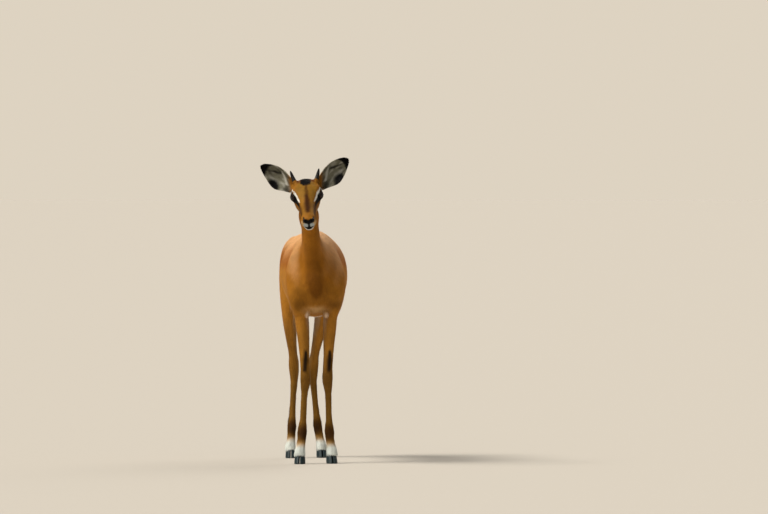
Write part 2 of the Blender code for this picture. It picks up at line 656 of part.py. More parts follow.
# A point near the middle of each piece, by which the parted pieces are named.
MIDDLE_PIECES = {
    "head": (-0.035, -0.380, 0.815),
    "neck": (-0.018, -0.265, 0.705),
    "trunk": (0.0, 0.050, 0.570),
    "tail": (0.001, 0.325, 0.545),
}
SIDE_PIECES = {
    "forearm": (0.043, -0.195, 0.345),
    "fore_cannon": (0.038, -0.197, 0.175),
    "fore_pastern": (0.047, -0.213, 0.060),
    "gaskin": (0.043, 0.240, 0.360),
    "hind_cannon": (0.034, 0.268, 0.185),
    "hind_pastern": (0.046, 0.248, 0.060),
}


def plate(name, centre, normal, half_sizes):
    """A thin cut, wide across the animal and long down the slope of its plane."""
    normal = Vector(normal).normalized()
    slope = normal.cross(Vector((1, 0, 0))).normalized()
    across = slope.cross(normal)
    turn = Matrix((across, slope, normal)).transposed().to_4x4()
    return box(name, (*half_sizes, GAP / 2), Matrix.Translation(centre) @ turn)


def part_body(whole):
    """Opens the eye sockets, ends the legs at the coronets, and cuts the body into its pieces."""
    for side_name, sign in SIDES:
        subtract(whole, eye("socket", sign, GAP))
        subtract(whole, lid_opening("lids", sign))
        for pair in LEGS:
            below = coronet(pair, side_name, sign) @ Matrix.Translation((0, 0, GAP - FOOT_END[2]))
            subtract(whole, box("foot_end", FOOT_END, below))
        for name, pair, centre, normal, half_sizes in SIDE_CUTS:
            place = stepped(pair, side_name, mirrored(centre, sign))
            subtract(whole, plate(name, place, normal, half_sizes))
    for name, centre, normal, half_sizes in MIDDLE_CUTS:
        subtract(whole, plate(name, centre, normal, half_sizes))
    return loose_pieces(whole)


def loose_pieces(whole):
    """One object for each separate piece of the mesh, named by the label nearest to its middle."""
    labels = {name: Vector(point) for name, point in MIDDLE_PIECES.items()}
    for side_name, sign in SIDES:
        for name, point in SIDE_PIECES.items():
            pair = "hind" if name.startswith(("gaskin", "hind")) else "fore"
            labels[name + "_" + side_name] = stepped(pair, side_name, mirrored(point, sign))
    bm = bmesh.new()
    bm.from_mesh(whole.data)
    bpy.data.objects.remove(whole)
    unseen = set(bm.verts)
    pieces = []
    while unseen:
        edge_of_search = [unseen.pop()]
        group = set(edge_of_search)
        while edge_of_search:
            vertex = edge_of_search.pop()
            for edge in vertex.link_edges:
                other = edge.other_vert(vertex)
                if other in unseen:
                    unseen.discard(other)
                    group.add(other)
                    edge_of_search.append(other)
        middle = sum((v.co for v in group), Vector()) / len(group)
        name = min(labels, key=lambda label: (labels[label] - middle).length)
        pieces.append(piece_of(bm, group, name))
    bm.free()
    return pieces


def piece_of(bm, group, name):
    piece = bmesh.new()
    copies = {vertex: piece.verts.new(vertex.co) for vertex in group}
    for face in {face for vertex in group for face in vertex.link_faces}:
        piece.faces.new([copies[vertex] for vertex in face.verts])
    return closed_object(name, piece)


def swollen(whole):
    """A copy of the body that stands out by the clearance, to trim ears and horns with."""
    copy = new_object("swollen", whole.data.copy())
    swell = copy.modifiers.new("swell", "DISPLACE")
    swell.strength, swell.mid_level = GAP, 0.0
    return settle(copy)


# ------------------------------------------------------------------ the whole animal
# colour and roughness
COAT = ((0.36, 0.150, 0.030), 0.65)
HORN = ((0.012, 0.011, 0.010), 0.45)
HOOF = ((0.012, 0.016, 0.020), 0.5)
EYE = ((0.012, 0.006, 0.003), 0.1)


def recentre(objects):
    """Puts the middle of the whole animal's footprint over the origin."""
    points = [vertex.co for obj in objects for vertex in obj.data.vertices]
    middle = Vector([(min(p[i] for p in points) + max(p[i] for p in points)) / 2 for i in (0, 1)] + [0])
    for obj in objects:
        obj.data.transform(Matrix.Translation(-middle))


def build():
    for obj in list(bpy.data.objects):
        bpy.data.objects.remove(obj)
    whole = body()
    horns, ears, eyes, claws = [], [], [], []
    for side_name, sign in SIDES:
        horns.append(horn("horn_" + side_name, sign))
        ears.append(ear("ear_" + side_name, side_name, sign))
        eyes.append(eye("eye_" + side_name, sign))
        subtract(horns[-1], swollen(whole))
        subtract(ears[-1], swollen(whole))
        for pair in LEGS:
            for part, inner in (("inner", True), ("outer", False)):
                name = f"{pair}_hoof_{side_name}_{part}"
                claws.append(claw(name, pair, side_name, sign, inner))
    flesh = part_body(whole) + ears
    for objects, look in ((flesh, COAT), (horns, HORN), (claws, HOOF), (eyes, EYE)):
        for obj in objects:
            finish(obj, *look)
    recentre(flesh + horns + claws + eyes)


build()
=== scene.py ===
"""The looks of a young impala ram: hide, coat, eyes, horns and claws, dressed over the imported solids."""

import json
import math

import bmesh
import bpy
import numpy as np
from mathutils import Matrix, Vector


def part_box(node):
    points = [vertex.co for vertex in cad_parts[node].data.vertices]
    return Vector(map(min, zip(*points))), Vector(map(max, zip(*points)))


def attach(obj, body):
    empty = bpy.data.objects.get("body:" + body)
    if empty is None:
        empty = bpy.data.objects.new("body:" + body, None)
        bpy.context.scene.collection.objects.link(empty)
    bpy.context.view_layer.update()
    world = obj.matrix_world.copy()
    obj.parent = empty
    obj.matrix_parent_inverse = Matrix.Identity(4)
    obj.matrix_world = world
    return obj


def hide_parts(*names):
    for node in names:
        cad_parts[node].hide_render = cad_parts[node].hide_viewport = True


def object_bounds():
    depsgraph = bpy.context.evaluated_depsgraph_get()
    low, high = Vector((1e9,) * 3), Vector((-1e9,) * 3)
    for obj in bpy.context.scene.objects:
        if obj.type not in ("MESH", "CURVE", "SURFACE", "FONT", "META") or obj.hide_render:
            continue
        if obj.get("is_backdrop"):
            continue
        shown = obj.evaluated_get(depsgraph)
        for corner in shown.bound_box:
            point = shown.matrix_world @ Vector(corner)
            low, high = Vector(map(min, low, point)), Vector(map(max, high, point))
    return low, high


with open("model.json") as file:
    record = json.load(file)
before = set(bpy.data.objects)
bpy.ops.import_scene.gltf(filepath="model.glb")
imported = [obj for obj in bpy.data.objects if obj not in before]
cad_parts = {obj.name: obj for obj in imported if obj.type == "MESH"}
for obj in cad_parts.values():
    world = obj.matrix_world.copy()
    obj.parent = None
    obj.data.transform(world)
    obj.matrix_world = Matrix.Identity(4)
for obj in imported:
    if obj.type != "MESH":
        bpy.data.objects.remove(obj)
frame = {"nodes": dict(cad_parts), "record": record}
solid_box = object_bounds()


# ---------------------------------------------------------------- the head's place
# The skull has a frame of its own: its origin is the joint with the neck, -Y runs along the nose and +X
# to the animal's left. The two eyeballs, which sit level across it, give its place and its turn, and so
# the place of the spine's middle plane, where x is 0 for the markings of the body.
LEFT_EYE = Vector((0.0345, -0.0640, 0.0115))
EYES_MIDDLE = Vector((0.0, -0.0640, 0.0115))
HEAD_PITCH = math.radians(27)


def middle(node):
    """The middle of a solid's box."""
    low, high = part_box(node)
    return (Vector(low) + Vector(high)) / 2


eye_line = (middle("eye_left") - middle("eye_right")).normalized()
head_turn = (
    Matrix.Rotation(math.atan2(eye_line.y, eye_line.x), 4, "Z")
    @ Matrix.Rotation(-math.asin(eye_line.z), 4, "Y")
    @ Matrix.Rotation(HEAD_PITCH, 4, "X")
)
eyes_at = (middle("eye_left") + middle("eye_right")) / 2
head = Matrix.Translation(eyes_at) @ head_turn @ Matrix.Translation(-EYES_MIDDLE)
NECK_JOINT = Vector((-0.034, -0.318, 0.833))
spine = head.translation - NECK_JOINT
SIDES = {"left": 1.0, "right": -1.0}


def on_side(place, sign):
    """A place on the left of the head or body, or its mirror image."""
    return Vector((sign * place[0], place[1], place[2]))


# ---------------------------------------------------------------- hide
# One unbroken skin over muscle and bone, in place of every solid of flesh. It grows from the solids
# themselves, whose thin cuts are closed, with nose wings, eye rims and the quick of each claw added.
SWELL = {"ear": 0.0008, "pastern": 0.0012, "": 0.0003}     # closes the cuts, thickens rims and fetlocks
HIDE_GRAIN = 0.0014         # of the grid that joins the flesh into one skin
EYE_RADIUS = (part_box("eye_left")[1][0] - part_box("eye_left")[0][0]) / 2
LID = 0.0022                # how far the eye rims stand out
QUICK_BACK, QUICK_UP = 0.14, 0.22       # place of the quick on its claw, in claw heights from the middle
QUICK_SHARES = (0.30, 0.27, 0.5)        # its radii, in shares of the claw's size
EGG_POINTS = (32, 24)       # round each soft form, and from pole to pole

# Soft forms of the left side, and the throat latch in the middle: centre and radii, in the head's frame
NOSE_WING = ((0.0108, -0.2005, 0.0015), (0.0070, 0.0072, 0.0068))
LOWER_LIP = ((0.0030, -0.1865, -0.0290), (0.0115, 0.0175, 0.0090))
HORN_ROOT = ((0.0305, -0.0200, 0.0345), (0.0098, 0.0098, 0.0098))
JOWL = ((0.0150, -0.0400, -0.0300), (0.0180, 0.0340, 0.0200))
THROAT_LATCH = ((0.0, -0.0060, -0.0900), (0.0312, 0.0300, 0.0600))
# One fold of the brisket, from the spine's middle plane, and how far the brisket lies off that plane
CHEST_FOLD = ((0.0290, -0.2270, 0.4560), (0.0105, 0.0130, 0.0125))
CHEST_MIDDLE = (0.003, 0, 0)

flesh = [piece["node"] for piece in frame["record"]["subparts"] if piece["material_slot"] == "coat"]
claw_nodes = [piece["node"] for piece in frame["record"]["subparts"] if piece["material_slot"] == "hoof"]


def egg(bm, centre, radii, place=Matrix()):
    """Adds a closed egg with these radii along its own axes."""
    shape = place @ Matrix.Translation(centre) @ Matrix.Diagonal((*radii, 1))
    around, down = EGG_POINTS
    bmesh.ops.create_uvsphere(bm, u_segments=around, v_segments=down, radius=1.0, matrix=shape)


def new_piece(name, bm):
    """A mesh object made from a bmesh, which is freed."""
    mesh = bpy.data.meshes.new(name)
    bm.to_mesh(mesh)
    bm.free()
    piece = bpy.data.objects.new(name, mesh)
    bpy.context.scene.collection.objects.link(piece)
    return piece


def settle(piece):
    """Bakes the piece's modifiers into its mesh."""
    graph = bpy.context.evaluated_depsgraph_get()
    mesh = bpy.data.meshes.new_from_object(piece.evaluated_get(graph))
    piece.modifiers.clear()
    piece.data = mesh


def rounded_copy(name, node, swell=0.0, levels=0):
    """A new piece in the shape of a solid, merged, a little swollen, and rounded by subdivision."""
    bm = bmesh.new()
    bm.from_mesh(frame["nodes"][node].data)
    bmesh.ops.remove_doubles(bm, verts=bm.verts, dist=1e-6)
    if levels:
        bmesh.ops.join_triangles(bm, faces=bm.faces, angle_face_threshold=0.7, angle_shape_threshold=0.7)
    bm.normal_update()
    for vert, out in [(vert, vert.normal.copy()) for vert in bm.verts]:
        vert.co += out * swell
    piece = new_piece(name, bm)
    if levels:
        rounding = piece.modifiers.new("rounding", "SUBSURF")
        rounding.levels = rounding.render_levels = levels
        settle(piece)
    return piece


body = bmesh.new()
for node in flesh:
    swell = next(swell for kind, swell in SWELL.items() if kind in node)
    part = rounded_copy("part", node, swell, levels=2 if node.startswith("ear") else 0)
    body.from_mesh(part.data)
    bpy.data.objects.remove(part)
for node in claw_nodes:
    low, high = (Vector(corner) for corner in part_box(node))
    size = high - low
    quick = (low + high) / 2 + Vector((0, size.z * QUICK_BACK, size.z * QUICK_UP))
    egg(body, quick, tuple(side * share for side, share in zip(size, QUICK_SHARES)))
for sign in SIDES.values():
    egg(body, on_side(LEFT_EYE, sign), (EYE_RADIUS + LID,) * 3, head)
    for centre, radii in (NOSE_WING, LOWER_LIP, HORN_ROOT, JOWL, THROAT_LATCH):
        egg(body, on_side(centre, sign), radii, head)
    egg(body, on_side(CHEST_FOLD[0], sign) + Vector(CHEST_MIDDLE), CHEST_FOLD[1], Matrix.Translation(spine))
hide = new_piece("hide", body)
join = hide.modifiers.new("join", "REMESH")
join.mode, join.voxel_size = "VOXEL", HIDE_GRAIN
settle(hide)


def rise(value, low, high):
    """0 where value is below low, 1 above high, and smooth between."""
    t = np.clip((value - low) / (high - low), 0, 1)
    return t * t * (3 - 2 * t)


def fall(value, low, high):
    """1 where value is below low, 0 above high, and smooth between."""
    return 1 - rise(value, low, high)


def points_of(mesh, normals=False):
    """The mesh's points, or their normals, as rows of numbers."""
    rows = np.empty(len(mesh.vertices) * 3, np.float32)
    if normals:
        mesh.vertex_normals.foreach_get("vector", rows)
    else:
        mesh.vertices.foreach_get("co", rows)
    return rows.reshape(-1, 3).astype(float)


def into_head(rows):
    """The same rows in the head's frame."""
    return (rows - np.array(head.translation)) @ np.array(head.to_3x3())


def weigh(piece, name, weights, steps=50):
    """A vertex group with these weights, in even steps."""
    group = piece.vertex_groups.new(name=name)
    level = np.rint(weights * steps).astype(int)
    for step in range(1, steps + 1):
        group.add(np.nonzero(level == step)[0].tolist(), step / steps, "REPLACE")


SOFTEST = 110               # smoothing passes on the barrel
ELSEWHERE, LESS_ON_EARS = 0.16, 0.05    # share of that smoothing on the rest, and what the ears lack of it
spot = points_of(hide.data)
face = into_head(spot)
on_barrel = (
    rise(spot[:, 2], 0.43, 0.52) * fall(spot[:, 1], 0.385, 0.40)
    * (1 - rise(spot[:, 2], 0.68, 0.78) * fall(spot[:, 1], -0.20, -0.12))
)
on_ear = rise(np.abs(face[:, 0]), 0.046, 0.060) * rise(face[:, 2], -0.01, 0.01)
weigh(hide, "soft", np.maximum(on_barrel, ELSEWHERE - LESS_ON_EARS * on_ear))
even = hide.modifiers.new("even", "SMOOTH")
even.factor, even.iterations, even.vertex_group = 0.5, SOFTEST, "soft"
settle(hide)
hide.vertex_groups.clear()


def of_head(mesh):
    """Which of the mesh's points belong to the head and ears."""
    rows = into_head(points_of(mesh))
    return (rows[:, 2] > -0.062) & (rows[:, 1] < 0.045)


def thin_out(mesh, chosen, share):
    """Keeps this share of the triangles among the chosen points, and leaves the rest alone."""
    for members in (mesh.polygons, mesh.edges, mesh.vertices):
        members.foreach_set("select", np.zeros(len(members), bool))
    mesh.vertices.foreach_set("select", chosen)
    bpy.ops.object.mode_set(mode="EDIT")
    bpy.ops.mesh.select_mode(type="VERT")
    bpy.ops.mesh.decimate(ratio=share)
    bpy.ops.object.mode_set(mode="OBJECT")


HEAD_SHARE, BODY_SHARE = 0.305, 0.142        # share of the triangles kept on the head, and elsewhere
for other in bpy.context.selected_objects:
    other.select_set(False)
hide.select_set(True)
bpy.context.view_layer.objects.active = hide
thin_out(hide.data, ~of_head(hide.data), BODY_SHARE)
thin_out(hide.data, of_head(hide.data), HEAD_SHARE)

# Openings for the eyeballs between the lids, and the nostrils
EYE_LOOK = Vector((0.86, -0.48, 0.14)).normalized()
LID_OPENING = (0.0262, 0.0170)
LID_SLANT = math.radians(20)
LID_POINTS = 40
LID_CORNER = 0.35           # how much the almond narrows towards its corners
LID_DEPTHS = ((0.30, 0.78), (1.02, 1.0), (1.10, 1.04), (1.5, 1.5))      # in eye radii, and its scale there
SOCKET_ROOM = 0.0002        # clearance between eyeball and socket
NOSTRIL = ((0.0098, -0.2070, 0.0008), (0.0019, 0.0080, 0.0052))         # centre and radii
NOSTRIL_LEAN = math.radians(38)


def eye_turn(sign):
    """The turn of an eyeball: Z looks out, X runs along the lids, from the nose backwards."""
    look = on_side(EYE_LOOK, sign)
    level = Vector((0, 0, 1)).cross(look).normalized() * sign
    level = Matrix.Rotation(LID_SLANT * sign, 3, look) @ level
    return Matrix((level, look.cross(level), look)).transposed()


def wall(bm, loops):
    """Faces from each loop of points to the next."""
    for low, high in zip(loops, loops[1:]):
        for i in range(len(low)):
            j = (i + 1) % len(low)
            bm.faces.new((low[i], low[j], high[j], high[i]))


def lid_edge(angle):
    """A place on the almond between the lids: along them, and across."""
    narrowed = 1 - LID_CORNER * math.cos(angle) ** 4
    return math.cos(angle) * LID_OPENING[0] / 2, math.sin(angle) * LID_OPENING[1] / 2 * narrowed


def almond(bm, sign):
    """A flared tube with an almond section, for the opening between the lids."""
    turn = eye_turn(sign)
    loops = []
    for depth, scale in LID_DEPTHS:
        loop = []
        for step in range(LID_POINTS):
            along_lid, over_lid = lid_edge(step * 2 * math.pi / LID_POINTS)
            place = turn @ Vector((along_lid * scale, over_lid * scale, EYE_RADIUS * depth))
            loop.append(bm.verts.new(head @ (on_side(LEFT_EYE, sign) + place)))
        loops.append(loop)
    wall(bm, loops)
    bm.faces.new(loops[0][::-1])
    bm.faces.new(loops[-1])


def carve(piece, fill):
    """Cuts away the closed shapes that fill(bm) makes."""
    bm = bmesh.new()
    fill(bm)
    bmesh.ops.recalc_face_normals(bm, faces=bm.faces)
    tool = new_piece("tool", bm)
    cut = piece.modifiers.new("cut", "BOOLEAN")
    cut.operation, cut.solver, cut.object = "DIFFERENCE", "EXACT", tool
    settle(piece)
    bpy.data.objects.remove(tool)


def nostril(bm, sign):
    """The hollow of a nostril, leaning outwards."""
    lean = Matrix.Rotation(NOSTRIL_LEAN * sign, 4, "Y")
    egg(bm, (0, 0, 0), NOSTRIL[1], head @ Matrix.Translation(on_side(NOSTRIL[0], sign)) @ lean)


def socket(bm, sign):
    """The room of an eyeball."""
    egg(bm, on_side(LEFT_EYE, sign), (EYE_RADIUS + SOCKET_ROOM,) * 3, head)


for opening in (nostril, almond, socket):
    carve(hide, lambda bm: [opening(bm, sign) for sign in SIDES.values()])


# Folds and grooves, and the room that the coat takes under the outline
def near(rows, path, widths, soft=0.35):
    """1 along a path of places, out to a half width given at each, and fading over its edge."""
    far = np.full(len(rows), 9.0)
    for start, end, wide, narrow in zip(path, path[1:], widths, widths[1:]):
        start, step = np.array(start), np.array(end) - np.array(start)
        share = np.clip((rows - start) @ step / (step @ step), 0, 1)
        gap = np.linalg.norm(rows - start - share[:, None] * step, axis=1)
        far = np.minimum(far, gap / (wide + (narrow - wide) * share))
    return fall(far, 1 - soft, 1 + soft)


def patch(rows, centre, radii, soft=0.35):
    """1 inside an egg of these radii, fading over its edge."""
    far = np.linalg.norm((rows - np.array(centre)) / np.array(radii), axis=1)
    return fall(far, 1 - soft, 1 + soft)


def mirror(rows):
    """The same rows brought over to the left side."""
    rows = rows.copy()
    rows[:, 0] = np.abs(rows[:, 0])
    return rows


MOUTH = ((0.0000, -0.2060, -0.0240), (0.0080, -0.2030, -0.0240), (0.0150, -0.1950, -0.0230),
         (0.0190, -0.1800, -0.0200), (0.0205, -0.1640, -0.0170))
PHILTRUM = ((0.0, -0.2100, 0.0010), (0.0, -0.2080, -0.0235))
TEAR_PIT = ((0.0405, -0.0840, 0.0080), (0.0345, -0.0960, 0.0060))
NOSE_LEATHER = ((0, -0.2040, 0), (0.010, -0.2040, 0))
MOUTH_DEPTH, PHILTRUM_DEPTH, TEAR_PIT_DEPTH = 0.0016, 0.0010, 0.0016
COAT_DEPTHS = {"trunk": 0.0026, "neck": 0.0018, "head": 0.0009, "leg": 0.0001, "ear": 0.0002, "tail": 0.0050}

spot = points_of(hide.data)
out = points_of(hide.data, normals=True)
face = into_head(spot)
half_face = mirror(face)
from_spine = spot[:, 0] - spine.x
to_crown = np.array(head.col[2].xyz)
tail_low, tail_high = (Vector(corner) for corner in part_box("tail"))
tail_middle = (tail_low.x + tail_high.x) / 2


def places(rows):
    """How far each point belongs to the ear, head, neck, tail, leg and trunk, adding up to 1."""
    side_face = mirror(into_head(rows))
    ear = rise(side_face[:, 0], 0.044, 0.056) * rise(side_face[:, 2], -0.012, 0.004)
    skull = rise(side_face[:, 2], -0.070, -0.045) * fall(side_face[:, 1], 0.010, 0.045)
    neck = rise(rows[:, 2], 0.62, 0.70) * fall(rows[:, 1], -0.16, -0.08)
    tail = (rise(rows[:, 1], 0.3860, 0.3895) * fall(np.abs(rows[:, 0] - tail_middle), 0.0175, 0.0200)
            * fall(rows[:, 2], 0.60, 0.655))
    leg = fall(rows[:, 2], 0.38, 0.46)
    left = np.ones(len(rows))
    found = {}
    for name, share in (("ear", ear), ("head", skull), ("neck", neck), ("tail", tail), ("leg", leg)):
        found[name] = share * left
        left = left - found[name]
    found["trunk"] = left
    return found


place = places(spot)
inset = sum(place[name] * depth for name, depth in COAT_DEPTHS.items())
bare_face = near(half_face, NOSE_LEATHER, (0.011, 0.009)) * place["head"]
inset = inset * (1 - bare_face)
inset += MOUTH_DEPTH * near(half_face, MOUTH, (0.0016,) * 5, 0.6) * fall(-out @ to_crown, 0.8, 1.0)
inset += PHILTRUM_DEPTH * near(half_face, PHILTRUM, (0.0014,) * 2, 0.6)
inset += TEAR_PIT_DEPTH * near(half_face, TEAR_PIT, (0.0040, 0.0032), 0.8)
hide.data.vertices.foreach_set("co", (spot - out * inset[:, None]).astype(np.float32).ravel())
hide.data.shade_smooth()

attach(hide, "root")
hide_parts(*flesh)


# ---------------------------------------------------------------- markings
# The colours of the coat, painted on the hide and taken up by each lock from the place where it grows:
# a red-brown saddle over fawn flanks, white underneath, black blazes on face, ears, rump, tail and hocks.
# Some of it is painted light: a highlight on the upper side, and shade on the front of neck and chest.
BACK = (0.37, 0.120, 0.013)
FLANK = (0.47, 0.195, 0.022)
# pale hair of the upper side: a painted highlight, partly sun-bleached tips
HIGHLIGHT_AND_BLEACH = (0.82, 0.50, 0.24)
NECK = (0.40, 0.150, 0.013)
# painted shade of the neck's front and the chest
NECK_SHADE = (0.16, 0.054, 0.004)
LEG = (0.38, 0.165, 0.022)
SHIN = (0.22, 0.105, 0.015)
FACE = (0.26, 0.105, 0.011)
FOREHEAD = (0.24, 0.114, 0.012)
WHITE = (0.78, 0.76, 0.68)
SOCK = (0.72, 0.76, 0.71)
PALE = (0.62, 0.41, 0.19)
BLACK = (0.0030, 0.0026, 0.0026)
DARK_BROWN = (0.050, 0.017, 0.003)
BRIDGE = (0.032, 0.009, 0.001)
EAR_GREY = (0.185, 0.174, 0.122)
EAR_PALE = (0.50, 0.48, 0.41)
EAR_DARK = (0.014, 0.011, 0.008)
INNER_LEG = (0.48, 0.27, 0.09)
# pale hair of the brisket folds, partly a painted highlight
FOLD_PALE_AND_HIGHLIGHT = (0.78, 0.60, 0.44)
CROWN = (0.115, 0.036, 0.008)
UPPER_LIP = (0.44, 0.49, 0.50)


MOTTLE_CELLS = 48           # random values along each side of the block that repeats


def mottle(rows, size, seed):
    """Smooth random values from -1 to 1, in patches of this size."""
    cells = np.random.default_rng(seed).uniform(-1, 1, (MOTTLE_CELLS,) * 3)
    at = rows / size + seed
    low = np.floor(at).astype(int)
    part = at - low
    part = part * part * (3 - 2 * part)
    total = np.zeros(len(rows))
    for corner in np.ndindex(2, 2, 2):
        share = np.prod(np.where(corner, part, 1 - part), axis=1)
        total += share * cells[tuple(((low + corner) % MOTTLE_CELLS).T)]
    return total


def frayed(rows, size, reach, seed):
    """The rows moved a little at random, so that a mark has the broken edge of hair."""
    return rows + reach * np.stack([mottle(rows, size, seed + k) for k in range(3)], axis=1)


tint = np.tile(np.array(FLANK), (len(spot), 1))


def paint(colour, share):
    """Lays a colour over the hide, by a share at each point."""
    tint[:] = tint + (np.array(colour) - tint) * np.clip(share, 0, 1)[:, None]


body = frayed(spot - np.array(spine), 0.012, 0.0035, 1)
side_body = mirror(body)
off_middle, aft, tall = side_body[:, 0], body[:, 1], body[:, 2]
backward, upward = out[:, 1], out[:, 2]
outward = out[:, 0] * np.sign(from_spine)
fore = fall(aft, -0.02, 0.06)
paint(BACK, rise(tall, 0.575, 0.610) * rise(aft, -0.24, -0.12))
paint(NECK, rise(tall, 0.50, 0.60) * fall(aft, -0.20, -0.11))
paint(BACK, rise(tall, 0.60, 0.68) * rise(backward, 0.1, 0.6) * fall(aft, -0.20, -0.10))
# Painted highlight on the hair of upward-facing back, shoulders and neck, for the sheen of light from above;
# partly sun-bleached tips
paint(HIGHLIGHT_AND_BLEACH, 0.56 * rise(upward, 0.15, 0.75) * rise(tall, 0.50, 0.58))
paint(LEG, fall(tall, 0.37, 0.47))
paint(SHIN, fall(tall, 0.20, 0.37))
over_groin = tall - 0.035 * rise(aft, 0.06, 0.12)
paint(WHITE, rise(-upward, 0.30, 0.75) * fall(tall, 0.485, 0.530) * rise(over_groin, 0.41, 0.44)
      * rise(aft, -0.14, -0.07) * fall(aft, 0.20, 0.24) * fall(off_middle, 0.050, 0.068))
inner_leg = rise(-outward, 0.50, 0.95) * rise(tall, 0.10, 0.22) * fall(tall, 0.47, 0.50)
paint(INNER_LEG, inner_leg * (0.30 + 0.30 * (1 - fore)))
paint(WHITE, inner_leg * rise(tall, 0.38, 0.46) * 0.25 * fall(off_middle, 0.050, 0.065))

# Painted shade down the front of the neck to the breast, over the lower chest and at each elbow, where the
# light from above doesn't reach; and the pale folds of the brisket under it, partly a painted highlight
NECK_SHADE_LINE = ((-0.034, -0.330, 0.760), (-0.028, -0.330, 0.704), (-0.021, -0.310, 0.645),
               (-0.013, -0.300, 0.586), (-0.0055, -0.300, 0.528), (-0.001, -0.295, 0.496))
NECK_SHADE_WIDTHS = (0.032, 0.034, 0.037, 0.038, 0.028, 0.012)
low_neck = fall(tall, 0.56, 0.70)
paint(NECK_SHADE, (0.15 + 0.72 * low_neck) * rise(-backward, 0.05, 0.45)
      * near(body, NECK_SHADE_LINE, NECK_SHADE_WIDTHS, 0.32))
# painted shade over the lower front of the chest, which faces down, away from the light
paint(NECK_SHADE, 0.50 * patch(body, (-0.008, -0.290, 0.520), (0.062, 0.090, 0.044), 0.7)
      * rise(-backward, 0.2, 0.7))
paint(PALE, 0.65 * patch(into_head(spot), (0, -0.140, -0.068), (0.024, 0.070, 0.018), 0.7)
      * rise(-backward, 0.0, 0.5))
under_chest = body - np.array(CHEST_MIDDLE)
# Painted shade in the hollow at each elbow, under the shoulder
paint(DARK_BROWN, 0.50 * patch(mirror(under_chest), (0.052, -0.235, 0.486), (0.020, 0.035, 0.014), 0.9))
paint(PALE, 0.65 * patch(under_chest, (0, -0.250, 0.466), (0.034, 0.040, 0.013), 0.8))
# Pale hair on the two folds of the brisket, partly a painted highlight
paint(FOLD_PALE_AND_HIGHLIGHT, 0.85 * patch(mirror(under_chest), (0.0290, -0.238, 0.452), (0.0080, 0.016, 0.0085), 0.6))

# Rump and tail
RUMP_LINE = ((0.0330, 0.640), (0.0400, 0.590), (0.0400, 0.530), (0.0380, 0.470))        # across and up
behind = rise(backward, 0.15, 0.55) * rise(aft, 0.24, 0.27)
paint(WHITE, behind * fall(off_middle, 0.028, 0.034) * rise(tall, 0.40, 0.44)
      * fall(tall, 0.625, 0.65))
paint(WHITE, rise(aft, 0.20, 0.25) * fall(off_middle, 0.022, 0.032) * rise(tall, 0.37, 0.41)
      * fall(tall, 0.50, 0.54))
paint(BLACK, behind * near(side_body[:, [0, 2]], RUMP_LINE, (0.0035, 0.0065, 0.0065, 0.003)))
on_tail = place["tail"]
paint(WHITE, on_tail * fall(tall, 0.58, 0.63))
paint(BLACK, on_tail * rise(backward, -0.10, 0.25) * fall(np.abs(spot[:, 0] - tail_middle), 0.0040, 0.0070)
      * fall(tall, 0.585, 0.62))

# Legs: dark streak and knee in front, dark fetlock, black tuft at the back of the hind cannon, white socks
KNEE_STREAK = ((0.0040, 0.342), (0.0030, 0.316), (0.0010, 0.286))       # across and up
for node in flesh:
    if "cannon" not in node:
        continue
    low, high = (Vector(corner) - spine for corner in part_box(node))
    shin = (low + high) / 2
    front_of = spot - np.array(spine) - np.array((shin.x, low.y, 0))
    if node.startswith("fore"):
        streak = near(front_of[:, [0, 2]], KNEE_STREAK, (0.0040, 0.0078, 0.0060), 0.75)
        paint(BLACK, 0.95 * rise(-backward, 0.05, 0.45) * streak * (np.abs(front_of[:, 1]) < 0.05))
        paint(DARK_BROWN, 0.38 * patch(front_of, (0, -0.008, 0.256), (0.022, 0.024, 0.036), 0.8))
        paint(DARK_BROWN, 0.18 * near(front_of, ((0, -0.004, 0.22), (0, 0, 0.12)), (0.006, 0.006), 0.9))
    paint(DARK_BROWN, 0.88 * patch(front_of, (0, -0.002, 0.096), (0.026, 0.032, 0.025), 0.5))
    paint(BLACK, 0.70 * patch(front_of, (0.002, -0.012, 0.094), (0.013, 0.016, 0.015), 0.8))
paint(BLACK, (1 - fore) * rise(tall, 0.098, 0.112) * fall(tall, 0.155, 0.172)
      * rise(backward + 0.5 * outward, 0.15, 0.55))
paint(PALE, 0.55 * fall(tall, 0.058, 0.074))
paint(SOCK, 0.95 * fall(tall, 0.046, 0.066))
# Painted shade: a faint darker line down the front of each sock, over the cleft between the claws
paint(DARK_BROWN, 0.16 * fall(tall, 0.050, 0.066) * rise(tall, 0.034, 0.042)
      * rise(-backward, 0.15, 0.60) * fall(np.abs(outward), 0.10, 0.26))
paint(BLACK, fall(tall, 0.0255, 0.0285))

# Face: each mark is a line of places in the head's frame, with a half width at each, or an egg
CHEEK_LIGHT = ((0.0150, -0.100), (0.0135, -0.150), (0.0125, -0.178))    # across and along
BLAZE = ((0, -0.050), (0, -0.075), (0, -0.110), (0, -0.150), (0, -0.174))
BLAZE_CORE = ((0, -0.100), (0, -0.130), (0, -0.168))
MUZZLE_SIDE = ((0.0275, -0.1120, 0.0060), (0.0235, -0.1400, 0.0030), (0.0215, -0.1680, 0.0040))
EYE_STRIPE = ((0.0480, -0.0400, 0.0150), (0.0485, -0.0540, 0.0200), (0.0460, -0.0640, 0.0115),
              (0.0395, -0.0840, 0.0110), (0.0315, -0.1060, 0.0095), (0.0262, -0.1220, 0.0080))
BROW_STRIPE = ((0.0415, -0.0560, 0.0300), (0.0340, -0.0780, 0.0245), (0.0268, -0.0980, 0.0185),
               (0.0222, -0.1120, 0.0160))
NOSE_PARTING = ((0, -0.0060), (0, -0.0130), (0, -0.0225))               # across and up

